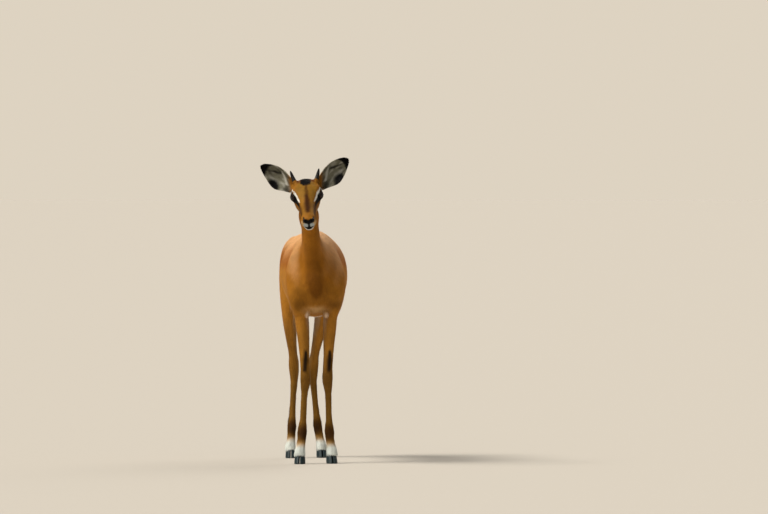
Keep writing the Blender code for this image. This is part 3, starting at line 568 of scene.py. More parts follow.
on_face = (place["head"] + place["ear"]) * rise(face[:, 2], -0.085, -0.060)
frayed_face = frayed(face, 0.006, 0.0012, 7)
half_face = mirror(frayed_face)
across_face, along_face, over_face = half_face.T
paint(FACE, on_face)
paint(FOREHEAD, on_face * patch(half_face, (0.016, -0.075, 0.040), (0.016, 0.050, 0.020)))
jaw = rise(-over_face, 0.008, 0.030) * fall(along_face, -0.085, -0.045)
paint(PALE, 0.70 * on_face * jaw * rise(along_face, -0.175, -0.150))
paint(WHITE, on_face * rise(-over_face, 0.024, 0.034) * fall(along_face, -0.10, -0.06)
      * rise(-out @ to_crown, 0.1, 0.6))
on_top = rise(face[:, 2], -0.004, 0.008)
paint(FOREHEAD, 0.6 * on_face * on_top * near(half_face[:, :2], CHEEK_LIGHT, (0.007, 0.0055, 0.006), 0.8))
paint(BRIDGE, 0.75 * on_face * on_top
      * near(frayed_face[:, :2], BLAZE, (0.0030, 0.0045, 0.0070, 0.0095, 0.0070), 0.95))
paint(BRIDGE, 0.80 * on_face * on_top * near(frayed_face[:, :2], BLAZE_CORE, (0.0035, 0.0070, 0.0060), 0.95))
paint(DARK_BROWN, 0.80 * on_face * near(half_face, MUZZLE_SIDE, (0.0065, 0.0095, 0.0075), 0.8))
crown = on_face * rise(face[:, 2], 0.02, 0.03)
paint(CROWN, 0.95 * crown * fall(across_face, 0.0240, 0.0285) * rise(frayed_face[:, 1], -0.036, -0.028)
      * fall(frayed_face[:, 1], -0.002, 0.010))
brow_edge = -0.0535 + 0.012 * rise(across_face, 0.007, 0.017)
paint(BLACK, crown * fall(across_face, 0.0145, 0.0170) * rise(frayed_face[:, 1] - brow_edge, -0.003, 0.003)
      * fall(frayed_face[:, 1], -0.006, 0.006))
paint(BLACK, on_face * near(half_face, EYE_STRIPE, (0.0045, 0.0095, 0.0150, 0.0118, 0.0080, 0.0035), 0.28))
paint(BLACK, on_face * patch(half_face, LEFT_EYE, (0.0225, 0.0235, 0.0160), 0.12))
paint(WHITE, on_face * near(half_face, BROW_STRIPE, (0.0024, 0.0036, 0.0030, 0.0016), 0.40))
muzzle_end = on_face * fall(along_face, -0.196, -0.182)
upright_face = face[:, [0, 2]]
paint(PALE, muzzle_end * fall(over_face, -0.008, 0.000) * 0.8)
paint(WHITE, 0.85 * on_face * fall(along_face, -0.172, -0.150) * fall(over_face, -0.026, -0.021))
paint(UPPER_LIP, muzzle_end * patch(half_face[:, [0, 2]], (0.0088, -0.0152), (0.0080, 0.0085), 0.30))
nose_top = 0.0025 + 0.36 * across_face
nose_foot = -0.0102 + 0.28 * across_face
nose = (
    on_face * fall(along_face, -0.1935, -0.1900) * rise(over_face - nose_foot, -0.0008, 0.0008)
    * fall(over_face - nose_top, 0.0, 0.0016) * fall(across_face, 0.0168, 0.0182)
)
philtrum = muzzle_end * near(upright_face, NOSE_PARTING, (0.0068, 0.0028, 0.0040), 0.3)
lips = on_face * near(mirror(face), MOUTH, (0.0030, 0.0028, 0.0022, 0.0016, 0.0008), 0.4)
mouth_middle = muzzle_end * patch(upright_face, (0, -0.0250), (0.0105, 0.0046), 0.25)
paint(BLACK, np.maximum.reduce([nose, philtrum, lips, mouth_middle]))

# Ears: a grey leaf inside with pale and dark strands, black at the tip and on the lower lobe
EAR_ROOT = Vector((0.0360, 0.0010, 0.0080))
EAR_FACING = Vector((0.25, -0.85, 0.38))
EAR_STEPS = 24              # places along the ear where its half width is measured
LEAF_WIDTH = 0.30           # from midline to rim on the ear's map, which is 1 long
EAR_FOLD = ((0.42, -0.15), (0.56, -0.08), (0.74, 0.02))         # on that map, along it and across
EAR_TUFT = ((0.46, -0.20), (0.34, -0.10), (0.18, 0.06))

inner_ear = np.zeros(len(spot))
ear_share = np.zeros(len(spot))
ear_rim = np.zeros(len(spot))
ear_line = np.zeros((len(spot), 3))
for side, sign in SIDES.items():
    root = np.array(head @ on_side(EAR_ROOT, sign))
    leaf = points_of(frame["nodes"]["ear_" + side].data)
    tip = leaf[np.argmax(np.linalg.norm(leaf - root, axis=1))]
    line = (tip - root) / np.linalg.norm(tip - root)
    facing = np.array(head.to_3x3() @ on_side(EAR_FACING, sign))
    facing -= facing @ line * line
    facing /= np.linalg.norm(facing)
    down = np.cross(line, facing) * sign
    if down[2] > 0:
        down = -down
    mine = place["ear"] * (face[:, 0] * sign > 0)
    shaken = frayed(spot, 0.006, 0.0010, 20)
    share = (shaken - root) @ line / np.linalg.norm(tip - root)
    across = (shaken - root) @ down
    chosen = mine > 0.5
    steps = share * EAR_STEPS
    bins = np.clip(steps.astype(int), 0, EAR_STEPS - 1)
    lowest = np.array([across[chosen & (bins == k)].max(initial=0.004) for k in range(EAR_STEPS)])
    highest = np.array([-across[chosen & (bins == k)].min(initial=-0.004) for k in range(EAR_STEPS)])
    half_width = [np.interp(steps - 0.5, range(EAR_STEPS), ends) for ends in (lowest, highest)]
    edge = np.where(across > 0, across / half_width[0], across / half_width[1])
    rim = np.abs(edge)
    leaf_map = np.stack([share, LEAF_WIDTH * edge], axis=1)
    inside = rise(out @ facing, -0.15, 0.15)
    streak = mottle(np.stack([share * 1.6, across * 60 + share, 0 * share], axis=1), 1 / 3.0, 31 + int(sign))
    fleck = mottle(spot, 0.007, 33)
    paint(BACK, mine * (1 - inside))
    paint(BLACK, mine * (1 - inside) * rise(share, 0.62, 0.72))
    mine = mine * inside
    paint(EAR_GREY, mine)
    paint(EAR_PALE, mine * 0.55 * rise(streak + 0.8 * fleck, 0.10, 1.10))
    paint(EAR_DARK, mine * 0.55 * rise(0.8 * fleck - streak, 0.20, 1.00))
    paint(EAR_DARK, mine * 0.85 * near(leaf_map, EAR_FOLD, (0.030, 0.045, 0.020), 0.7))
    paint(EAR_PALE, mine * 0.75 * patch(leaf_map, (0.54, 0.16), (0.13, 0.050), 0.8))
    paint(EAR_DARK, mine * 0.75 * fall(share, 0.10, 0.30))
    paint(EAR_PALE, mine * 0.95 * near(leaf_map, EAR_TUFT, (0.020, 0.042, 0.028), 0.6))
    paint(EAR_PALE, mine * 0.8 * rise(edge, 0.88, 0.97) * fall(share, 0.28, 0.36))
    paint(BLACK, mine * patch(leaf_map, (0.47, 0.28), (0.165, 0.150), 0.3))
    mine = place["ear"] * (face[:, 0] * sign > 0)
    paint(BLACK, mine * rise(share + 0.04 * rim, 0.79, 0.83))
    inner_ear = np.where(chosen, inside, inner_ear)
    ear_share = np.where(chosen, share, ear_share)
    ear_rim = np.where(chosen, rim, ear_rim)
    ear_line = np.where(chosen[:, None], line, ear_line)

# Small variation from patch to patch, at a broad and a fine size
tint = tint * (1 + 0.09 * mottle(spot, 0.030, 50) + 0.07 * mottle(spot, 0.008, 51))[:, None]
tint = np.clip(tint, 0.002, 0.85)


def keep_on(mesh, name, values, kind="FLOAT", domain="POINT"):
    """Stores values on a mesh under this name."""
    held = mesh.attributes.new(name, kind, domain)
    field = {"FLOAT_VECTOR": "vector", "FLOAT_COLOR": "color"}.get(kind, "value")
    held.data.foreach_set(field, np.asarray(values, np.int32 if kind == "INT" else np.float32).ravel())


keep_on(hide.data, "coat_colour", np.column_stack([tint, np.ones(len(tint))]), "FLOAT_COLOR")
wet = np.maximum(nose, 0.7 * philtrum)
keep_on(hide.data, "wet", wet)


def hair_grain():
    """Fine streaks along the lie of the hair, and the soft patches of a live coat."""
    tree = bpy.data.node_groups.new("hair grain", "ShaderNodeTree")
    face_of = tree.interface
    for name, first in (("Scale", 320.0), ("Stretch", 0.12)):
        face_of.new_socket(name, in_out="INPUT", socket_type="NodeSocketFloat").default_value = first
    for name in ("Streak", "Patch"):
        face_of.new_socket(name, in_out="OUTPUT", socket_type="NodeSocketFloat")
    nodes, links = tree.nodes, tree.links
    given, result = nodes.new("NodeGroupInput"), nodes.new("NodeGroupOutput")
    spot = nodes.new("ShaderNodeTexCoord")
    streaks = []
    for stretched in (1, 2):
        sizes = nodes.new("ShaderNodeCombineXYZ")
        for axis in range(3):
            if axis == stretched:
                links.new(given.outputs["Stretch"], sizes.inputs[axis])
            else:
                sizes.inputs[axis].default_value = 1.0
        drawn = nodes.new("ShaderNodeVectorMath")
        drawn.operation = "MULTIPLY"
        links.new(spot.outputs["Object"], drawn.inputs[0])
        links.new(sizes.outputs[0], drawn.inputs[1])
        grain = nodes.new("ShaderNodeTexNoise")
        grain.inputs["Detail"].default_value = 3.0
        links.new(given.outputs["Scale"], grain.inputs["Scale"])
        links.new(drawn.outputs[0], grain.inputs["Vector"])
        streaks.append(grain)
    upright = nodes.new("ShaderNodeAttribute")
    upright.attribute_name = "upright"
    streak = nodes.new("ShaderNodeMix")
    links.new(upright.outputs["Fac"], streak.inputs["Factor"])
    links.new(streaks[0].outputs["Fac"], streak.inputs["A"])
    links.new(streaks[1].outputs["Fac"], streak.inputs["B"])
    links.new(streak.outputs["Result"], result.inputs["Streak"])
    cloud = nodes.new("ShaderNodeTexNoise")
    cloud.inputs["Scale"].default_value = 28.0
    cloud.inputs["Detail"].default_value = 4.0
    links.new(spot.outputs["Object"], cloud.inputs["Vector"])
    links.new(cloud.outputs["Fac"], result.inputs["Patch"])
    return tree


HAIR_GRAIN = hair_grain()


def finish_of(name, **fixed):
    """A new material and its shader, with these values set on the shader's own sockets."""
    material = bpy.data.materials.new(name)
    material.use_nodes = True
    shader = material.node_tree.nodes["Principled BSDF"]
    for socket, value in fixed.items():
        shader.inputs[socket.replace("_", " ").title().replace("Ior", "IOR")].default_value = value
    return material, shader


def made(material, kind, **settings):
    """A new node of a material, with these settings and socket values."""
    node = material.node_tree.nodes.new(kind)
    for name, value in settings.items():
        if hasattr(node, name):
            setattr(node, name, value)
        else:
            node.inputs[name.replace("_", " ").title()].default_value = value
    return node


def read(material, name, what="Fac"):
    """What is stored on the mesh under this name."""
    return made(material, "ShaderNodeAttribute", attribute_name=name).outputs[what]


def ramp(material, value, low, high, floor=0.0, ceiling=1.0):
    """Maps a value from low..high to floor..ceiling."""
    node = made(material, "ShaderNodeMapRange")
    material.node_tree.links.new(value, node.inputs["Value"])
    for socket, number in (("From Min", low), ("From Max", high), ("To Min", floor), ("To Max", ceiling)):
        node.inputs[socket].default_value = number
    return node.outputs["Result"]


def scaled(material, colour, share):
    """A colour made lighter or darker by a changing share."""
    node = made(material, "ShaderNodeVectorMath", operation="SCALE")
    material.node_tree.links.new(colour, node.inputs[0])
    material.node_tree.links.new(share, node.inputs["Scale"])
    return node.outputs["Vector"]


def blended(material, share, first, second, how="MIX"):
    """Two colours mixed by a share."""
    node = made(material, "ShaderNodeMix", data_type="RGBA", blend_type=how)
    links = material.node_tree.links
    for socket, value in ((node.inputs[0], share), (node.inputs[6], first), (node.inputs[7], second)):
        if isinstance(value, bpy.types.NodeSocket):
            links.new(value, socket)
        else:
            socket.default_value = value
    return node.outputs[2]


def times(material, first, second, how="MULTIPLY"):
    """Two values multiplied, or combined in another way."""
    node = made(material, "ShaderNodeMath", operation=how)
    for socket, value in zip(node.inputs, (first, second)):
        if isinstance(value, bpy.types.NodeSocket):
            material.node_tree.links.new(value, socket)
        else:
            socket.default_value = value
    return node.outputs[0]


def bumped(material, shader, height, strength, distance):
    """Raises the grain of a surface in its shading."""
    node = made(material, "ShaderNodeBump", strength=strength, distance=distance)
    material.node_tree.links.new(height, node.inputs["Height"])
    material.node_tree.links.new(node.outputs["Normal"], shader.inputs["Normal"])


GRAIN_SPAN = (0.3, 0.7)     # the part of a noise's range that a finish is spread over

# The hide's own finish: hair of the same colours, a painted shade darker where it shows between the locks, and wet
# black leather
skin, skin_shader = finish_of("hide", specular_ior_level=0.09)
links = skin.node_tree.links
colour = read(skin, "coat_colour", "Color")
wetness = read(skin, "wet")
grain = made(skin, "ShaderNodeGroup", node_tree=HAIR_GRAIN)
pebbles = made(skin, "ShaderNodeTexVoronoi", scale=900.0)
links.new(made(skin, "ShaderNodeTexCoord").outputs["Object"], pebbles.inputs["Vector"])
mixed = times(skin, ramp(skin, grain.outputs["Streak"], *GRAIN_SPAN, 0.84, 1.06),
              ramp(skin, grain.outputs["Patch"], *GRAIN_SPAN, 0.90, 1.08))
links.new(scaled(skin, colour, mixed), skin_shader.inputs["Base Color"])
links.new(ramp(skin, wetness, 0, 1, 0.72, 0.34), skin_shader.inputs["Roughness"])
height = made(skin, "ShaderNodeMix")
links.new(wetness, height.inputs["Factor"])
links.new(grain.outputs["Streak"], height.inputs["A"])
links.new(pebbles.outputs["Distance"], height.inputs["B"])
bumped(skin, skin_shader, height.outputs["Result"], 0.5, 0.0006)
hide.data.materials.clear()
hide.data.materials.append(skin)


# ---------------------------------------------------------------- coat
# Short flat hair all over the hide. Each lock is one thin leaf that rises from the hide, lies back along
# the body and overlaps the next; it is finest on face and feet, and longest on belly, thighs and tail.
BACK_OVER_HEAD = tuple(head.to_3x3() @ Vector((0, 1, -0.12)))
LIES = {"trunk": (0, 0.92, -0.40), "neck": (0.02, 0.35, -0.94), "head": BACK_OVER_HEAD,
        "leg": (0, 0.12, -1), "ear": (0, 0, 0), "tail": (0, 0.15, -1)}
LENGTHS = {"trunk": 0.0105, "neck": 0.0095, "head": 0.0044, "leg": 0.0060, "ear": 0.0045, "tail": 0.026}
LIFTS = {"trunk": 0.12, "neck": 0.12, "head": 0.09, "leg": 0.08, "ear": 0.08, "tail": 0.20}
SWIRL = 0.16                # share by which the lie wanders from patch to patch
UNWRAP_ANGLE, UNWRAP_GAP = math.radians(66), 0.002

spot = points_of(hide.data)
out = points_of(hide.data, normals=True)
face = into_head(spot)
half_face = mirror(face)
body = spot - np.array(spine)
aft, tall = body[:, 1], body[:, 2]
backward, upward = out[:, 1], out[:, 2]
place = places(spot)
lie = sum(place[name][:, None] * np.array(way) for name, way in LIES.items())
lie = lie + place["ear"][:, None] * ear_line
length = sum(place[name] * reach for name, reach in LENGTHS.items())
lift = sum(place[name] * rate for name, rate in LIFTS.items())


def lay(way, share):
    """Turns the lie of the coat towards a direction, by a share."""
    lie[:] = lie + (np.array(way) - lie) * share[:, None]


def trim(reach, share):
    """Brings the length of the locks to this reach, by a share."""
    length[:] = length + (reach - length) * share


thigh = place["trunk"] * rise(aft, 0.12, 0.20) * fall(tall, 0.60, 0.67)
lay((0, 0.40, -0.92), thigh)
lay((0, 0.45, -0.90), place["trunk"] * fall(aft, -0.17, -0.08) * fall(tall, 0.62, 0.68))
lay((0, 1.0, 0.0), place["trunk"] * rise(-upward, 0.5, 0.9))
lay((0, 0.10, -1.0), place["trunk"] * rise(-backward, 0.4, 0.8))
trim(0.0135, place["trunk"] * rise(-upward, 0.3, 0.8))
trim(0.0130, place["trunk"] * behind)
trim(0.0040, place["head"] * rise(half_face[:, 1], -0.20, -0.10))
trim(0.0021, place["head"] * fall(half_face[:, 1], -0.185, -0.120))
trim(0.0090, on_face * rise(-half_face[:, 2], 0.030, 0.055))
on_crown = (
    on_face * fall(np.abs(face[:, 0]), 0.018, 0.026) * rise(face[:, 1], -0.056, -0.040)
    * rise(face[:, 2], 0.02, 0.03)
)
trim(0.0070, on_crown)
lift = lift + 0.12 * on_crown
trim(0.0080, place["ear"] * inner_ear)
trim(0.0036, place["ear"] * rise(ear_rim, 0.70, 0.90))
trim(0.0036, place["ear"] * rise(ear_share, 0.80, 0.92))
lift = lift + 0.10 * place["ear"] * inner_ear * fall(ear_rim, 0.60, 0.85) * fall(ear_share, 0.75, 0.90)
hock_tuft = (
    (1 - fore) * rise(tall, 0.098, 0.118) * fall(tall, 0.155, 0.175)
    * rise(backward + 0.5 * outward, 0.15, 0.55)
)
trim(0.0130, hock_tuft * place["leg"])
lift = lift + 0.15 * hock_tuft
trim(0.0078, place["leg"] * fall(tall, 0.032, 0.042))
trim(0.034, place["tail"] * fall(tall, 0.50, 0.54))
for sign in SIDES.values():
    from_eye = face - np.array(on_side(LEFT_EYE, sign))
    look = np.array(on_side(EYE_LOOK, sign))
    around = from_eye - (from_eye @ look)[:, None] * look
    reach = np.linalg.norm(around, axis=1)
    by_lid = fall(reach, 0.0155, 0.0215) * (np.linalg.norm(from_eye, axis=1) < 0.022)
    lay((0, 0, 0), by_lid)
    lie = lie + by_lid[:, None] * (around / reach[:, None].clip(1e-5)) @ np.array(head.to_3x3()).T
    trim(0.0019, by_lid)
    horn_skin = patch(face, on_side(HORN_ROOT[0], sign), (0.015,) * 3, 0.3)
    lay(tuple(head.to_3x3() @ on_side((0.25, 0.50, 0.90), sign)), horn_skin)
    trim(0.0060, horn_skin)

swirl = np.stack([mottle(spot, 0.028, 60 + k) for k in range(3)], axis=1)
lie = lie / np.linalg.norm(lie, axis=1)[:, None].clip(1e-6) + SWIRL * swirl
lie = lie - (lie * out).sum(axis=1)[:, None] * out
lie = lie / np.linalg.norm(lie, axis=1)[:, None].clip(1e-6)
length = length * (1 + 0.12 * mottle(spot, 0.012, 70))
lift = lift * (1 + 0.35 * mottle(spot, 0.016, 71))

in_socket = np.zeros(len(spot), bool)
in_nostril = np.zeros(len(spot))
for sign in SIDES.values():
    in_socket |= np.linalg.norm(face - np.array(on_side(LEFT_EYE, sign)), axis=1) < EYE_RADIUS + 0.0009
    in_nostril = np.maximum(in_nostril, patch(face, on_side(NOSTRIL[0], sign), (0.006, 0.009, 0.007), 0.2))
thick = (1 - wet) * (1 - in_nostril) * (1 - in_socket) * (1 - 0.9 * lips) * rise(tall, 0.024, 0.028)

upright = fall(np.abs(lie[:, 1]), 0.55, 0.80)
keep_on(hide.data, "root_lie", lie, "FLOAT_VECTOR")
for name, values in (("root_length", length), ("root_lift", lift), ("root_thick", thick),
                     ("upright", upright)):
    keep_on(hide.data, name, values)

# Pieces of coat by zone of the body, from the same hide, so that none shows an edge
mid = np.empty(len(hide.data.polygons) * 3, np.float32)
hide.data.polygons.foreach_get("center", mid)
mid = mid.reshape(-1, 3).astype(float)
area = np.empty(len(hide.data.polygons), np.float32)
hide.data.polygons.foreach_get("area", area)
shares = places(mid)
leading = np.argmax([shares[name] for name in ("trunk", "neck", "head", "leg", "ear", "tail")], axis=0)
on_left = mid[:, 0] > spine.x
ahead = mid[:, 1] < spine.y + 0.05
zone = np.select([(leading == 0) & on_left, leading == 0, leading == 1, leading == 2,
                  (leading == 3) & ahead, leading == 3, leading == 4, leading == 5], range(1, 9), 0)
keep_on(hide.data, "root_zone", zone, "INT", "FACE")
bpy.ops.object.mode_set(mode="EDIT")
bpy.ops.mesh.select_all(action="SELECT")
bpy.ops.uv.smart_project(angle_limit=UNWRAP_ANGLE, island_margin=UNWRAP_GAP)
bpy.ops.object.mode_set(mode="OBJECT")
hide.data.uv_layers.active.name = "root_map"


LEAF_SHARE = 0.35           # how far a lock's own slope shows in its shading, against the hide's under it
WIDTH_SPREAD, LENGTH_SPREAD = (0.75, 1.2), (0.70, 1.15)         # from lock to lock


def lock_tree():
    """Spreads the locks of one zone over the hide."""
    tree = bpy.data.node_groups.new("locks", "GeometryNodeTree")
    nodes, links = tree.nodes, tree.links
    for name, kind in (("Lock", "Geometry"), ("Hide", "Object"), ("Zone", "Int"), ("Locks", "Float"),
                       ("Width", "Float"), ("Stray", "Float"), ("Patch", "Float"), ("Seed", "Int"),
                       ("Hair", "Material")):
        tree.interface.new_socket(name, in_out="INPUT", socket_type="NodeSocket" + kind)
    tree.interface.new_socket("Coat", in_out="OUTPUT", socket_type="NodeSocketGeometry")
    given, result = nodes.new("NodeGroupInput").outputs, nodes.new("NodeGroupOutput")

    def node(kind, inputs=(), **settings):
        made_node = nodes.new(kind)
        for key, value in settings.items():
            setattr(made_node, key, value)
        for socket, value in dict(inputs).items():
            if isinstance(value, bpy.types.NodeSocket):
                links.new(value, made_node.inputs[socket])
            else:
                made_node.inputs[socket].default_value = value
        return made_node

    def kept(name, kind):
        return node("GeometryNodeInputNamedAttribute", {"Name": name}, data_type=kind).outputs["Attribute"]

    def stored(geometry, name, value, kind, domain="POINT"):
        return node("GeometryNodeStoreNamedAttribute", {"Geometry": geometry, "Name": name, "Value": value},
                    data_type=kind, domain=domain).outputs[0]

    def sum_of(a, b, how="ADD"):
        return node("ShaderNodeMath", {0: a, 1: b}, operation=how).outputs[0]

    def vectors(a, b, how="ADD"):
        return node("ShaderNodeVectorMath", {0: a, 1: b}, operation=how).outputs[0]

    def stretched(vector, share):
        return node("ShaderNodeVectorMath", {0: vector, "Scale": share}, operation="SCALE").outputs[0]

    def chance(low, high, step, kind="FLOAT"):
        seed = node("FunctionNodeIntegerMath", {0: given["Seed"], 1: step}, operation="ADD").outputs[0]
        both = (0, 1) if kind == "FLOAT_VECTOR" else (2, 3)
        rolled = node("FunctionNodeRandomValue", {both[0]: low, both[1]: high, "Seed": seed}, data_type=kind)
        return next(socket for socket in rolled.outputs if socket.enabled)

    ground = node("GeometryNodeObjectInfo", {"Object": given["Hide"]}).outputs["Geometry"]
    here = node("FunctionNodeCompare", {2: kept("root_zone", "INT"), 3: given["Zone"]},
                data_type="INT", operation="EQUAL").outputs[0]
    roots = node("GeometryNodeDistributePointsOnFaces", {
        "Mesh": ground, "Selection": here, "Seed": given["Seed"],
        "Density": sum_of(given["Locks"], kept("root_thick", "FLOAT"), "MULTIPLY")})
    outwards = roots.outputs["Normal"]
    way = vectors(kept("root_lie", "FLOAT_VECTOR"), stretched(outwards, kept("root_lift", "FLOAT")))
    way = vectors(way, stretched(chance((-1, -1, -1), (1, 1, 1), 1, "FLOAT_VECTOR"), given["Stray"]))
    turn = node("FunctionNodeAxesToRotation", {"Primary Axis": way, "Secondary Axis": outwards},
                primary_axis="Z", secondary_axis="Y").outputs[0]
    wide = sum_of(given["Width"], chance(*WIDTH_SPREAD, 2), "MULTIPLY")
    long = sum_of(kept("root_length", "FLOAT"), chance(*LENGTH_SPREAD, 3), "MULTIPLY")
    size = node("ShaderNodeCombineXYZ", {0: wide, 1: wide, 2: long}).outputs[0]
    faced = stored(roots.outputs["Points"], "root_out", outwards, "FLOAT_VECTOR")
    spread = node("GeometryNodeInstanceOnPoints", {"Points": faced, "Instance": given["Lock"],
                                                   "Rotation": turn, "Scale": size}).outputs[0]
    toned = stored(spread, "tone", chance(0.0, 1.0, 4), "FLOAT", "INSTANCE")
    solid = node("GeometryNodeRealizeInstances", {"Geometry": toned}).outputs[0]
    spot_on_map = vectors(kept("root_map", "FLOAT_VECTOR"),
                          stretched(kept("root_at", "FLOAT_VECTOR"), given["Patch"]))
    mapped = stored(solid, "OFBake", spot_on_map, "FLOAT2", "CORNER")
    leaf = node("GeometryNodeInputNormal").outputs[0]
    flat = node("ShaderNodeMix", {"Factor": LEAF_SHARE, 4: kept("root_out", "FLOAT_VECTOR"), 5: leaf},
                data_type="VECTOR").outputs[1]
    mapped = node("GeometryNodeSetMeshNormal", {"Mesh": mapped, "Custom Normal": flat},
                  mode="FREE", domain="CORNER").outputs[0]
    clean = node("GeometryNodeRemoveAttribute", {"Geometry": mapped, "Name": "root_*"},
                 pattern_mode="WILDCARD").outputs[0]
    dressed = node("GeometryNodeSetMaterial", {"Geometry": clean, "Material": given["Hair"]}).outputs[0]
    links.new(dressed, result.inputs["Coat"])
    return tree


LOCKS = lock_tree()
LOCK_LEVELS = ((0.0, 0.5, 0.0), (0.42, 0.40, 0.55), (1.0, 0.0, 0.10))     # share of length, half width, arch
LOCK_PATCH = 0.003          # across each lock's place on the bake's map


def one_lock():
    """A leaf along Z, one wide and one long, that arches outwards along Y."""
    bm = bmesh.new()
    rows = []
    for along, half, arch in LOCK_LEVELS:
        ends = (-half, half) if half else (0.0,)
        rows.append([bm.verts.new((x, arch, along)) for x in ends])
    (a, b), (c, d), (tip,) = rows
    bm.faces.new((b, a, c, d))
    bm.faces.new((d, c, tip))
    lock = new_piece("lock", bm)
    flat = points_of(lock.data)
    on_leaf = np.column_stack([flat[:, 0] + 0.5, flat[:, 2], 0 * flat[:, 0]])
    keep_on(lock.data, "root_at", on_leaf, "FLOAT_VECTOR")
    keep_on(lock.data, "strand", flat[:, 2])
    return lock


def set_input(modifier, name, value):
    """Sets one of the coat's inputs by its name."""
    socket = next(item for item in LOCKS.interface.items_tree if item.name == name and item.in_out == "INPUT")
    modifier[socket.identifier] = value


coat, coat_shader = finish_of("coat", specular_ior_level=0.06)
links = coat.node_tree.links
colour = read(coat, "coat_colour", "Color")
tone = read(coat, "tone")
strand = read(coat, "strand")
grain = made(coat, "ShaderNodeGroup", node_tree=HAIR_GRAIN)
# Painted shade: each lock darker towards its root and lighter at its tip, with a random tone from lock to lock and
# soft patches
lock_shade_and_tone = times(coat, ramp(coat, strand, 0, 0.9, 0.90, 1.05), ramp(coat, tone, 0, 1, 0.86, 1.13))
lock_shade_and_tone = times(coat, lock_shade_and_tone, ramp(coat, grain.outputs["Patch"], *GRAIN_SPAN, 0.93, 1.07))
links.new(scaled(coat, colour, lock_shade_and_tone), coat_shader.inputs["Base Color"])
links.new(ramp(coat, tone, 0, 1, 0.48, 0.64), coat_shader.inputs["Roughness"])
bumped(coat, coat_shader, grain.outputs["Streak"], 0.2, 0.0003)

# zone: piece, locks per square metre, width of a lock, stray
COAT_PIECES = (
    ("flank_left", 400000, 0.00110, 0.10),
    ("flank_right", 400000, 0.00110, 0.10),
    ("neck", 480000, 0.00105, 0.10),
    ("head", 1000000, 0.00075, 0.09),
    ("forelegs", 700000, 0.00085, 0.09),
    ("hind_legs", 620000, 0.00085, 0.09),
    ("ears", 900000, 0.00075, 0.14),
    ("tail", 620000, 0.00120, 0.16),
)
MOST_LOCKS = 66000          # on one piece, at three triangles each
for number, (name, locks, width, stray) in enumerate(COAT_PIECES, 1):
    room = float(area[zone == number].sum())
    piece = one_lock()
    piece.name = piece.data.name = "coat_" + name
    growth = piece.modifiers.new("growth", "NODES")
    growth.node_group = LOCKS
    for socket, value in (("Hide", hide), ("Zone", number), ("Locks", min(locks, MOST_LOCKS / room)),
                          ("Width", width), ("Stray", stray), ("Patch", LOCK_PATCH), ("Seed", 10 * number),
                          ("Hair", coat)):
        set_input(growth, socket, value)
    settle(piece)
    piece.data.shade_smooth()
    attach(piece, "root")
for name in [held.name for held in hide.data.attributes if held.name.startswith("root_")]:
    hide.data.attributes.remove(hide.data.attributes[name])


# ---------------------------------------------------------------- eyes
# Large dark eyeballs set in the sockets, with a brown iris round a level oval pupil, under a wet surface.
# Stiff black lashes stand out from the edge of each upper lid.
PUPIL = (0.50, 0.30)        # half length and half height, in eye radii
IRIS_REACH, IRIS_EDGE = 0.80, 0.12      # its half width and the band where it darkens, in eye radii
IRIS_DARK, IRIS_BROWN = (0.009, 0.004, 0.002, 1), (0.026, 0.010, 0.004, 1)
ROUND_IRIS, PUPIL_BLACK = (0.006, 0.004, 0.003, 1), (0.003, 0.003, 0.005, 1)
LASHES = 46
LASH = (0.0085, 0.00030)    # length and half width
LASH_SPREAD = (0.75, 1.1)   # length from lash to lash
LASH_ROW = (0.10, 0.80)     # first place round the lid and span of the row, in half turns
LASH_ROOTS = 1.06           # place of the row, in lid openings
LASH_ABOVE, LASH_BELOW = 0.0010, 0.0012         # start of a lash over the eyeball, and its root under that
LASH_OUTWARD, LASH_FAN, LASH_UP, LASH_STRAY = 0.85, 25, 0.75, 0.16      # shares in its direction
LASH_BEND = 0.22            # in lengths, at its tip
LASH_DARK, LASH_LIGHT = (0.006, 0.005, 0.004, 1), (0.020, 0.014, 0.010, 1)


def gaze(piece, sign):
    """Each point's place on the eyeball, in eye radii: along the lids, across them, and outwards."""
    turn = np.array(head.to_3x3() @ eye_turn(sign))
    centre = np.array(head @ on_side(LEFT_EYE, sign))
    return (points_of(piece.data) - centre) @ turn / EYE_RADIUS


eye, eye_shader = finish_of("eye", roughness=0.04, specular_ior_level=0.16)
links = eye.node_tree.links
at = read(eye, "gaze", "Vector")
axes = made(eye, "ShaderNodeSeparateXYZ")
links.new(at, axes.inputs[0])
along = times(eye, axes.outputs["X"], axes.outputs["X"])
across = times(eye, axes.outputs["Y"], axes.outputs["Y"])
oval = times(eye, times(eye, along, 1 / PUPIL[0] ** 2), times(eye, across, 1 / PUPIL[1] ** 2), "ADD")
far = times(eye, times(eye, along, across, "ADD"), 0.5, "POWER")
fibres = made(eye, "ShaderNodeTexNoise", scale=9.0, detail=4.0)
links.new(at, fibres.inputs["Vector"])
iris = blended(eye, ramp(eye, fibres.outputs["Fac"], 0.35, 0.65), IRIS_DARK, IRIS_BROWN)
iris = blended(eye, ramp(eye, far, IRIS_REACH - IRIS_EDGE, IRIS_REACH), iris, ROUND_IRIS)
links.new(blended(eye, ramp(eye, oval, 1.12, 0.92), iris, PUPIL_BLACK), eye_shader.inputs["Base Color"])

lash_hair, lash_shader = finish_of("lash", roughness=0.45)
links = lash_hair.node_tree.links
grain = made(lash_hair, "ShaderNodeGroup", node_tree=HAIR_GRAIN)
streaked = blended(lash_hair, grain.outputs["Streak"], LASH_DARK, LASH_LIGHT)
links.new(streaked, lash_shader.inputs["Base Color"])

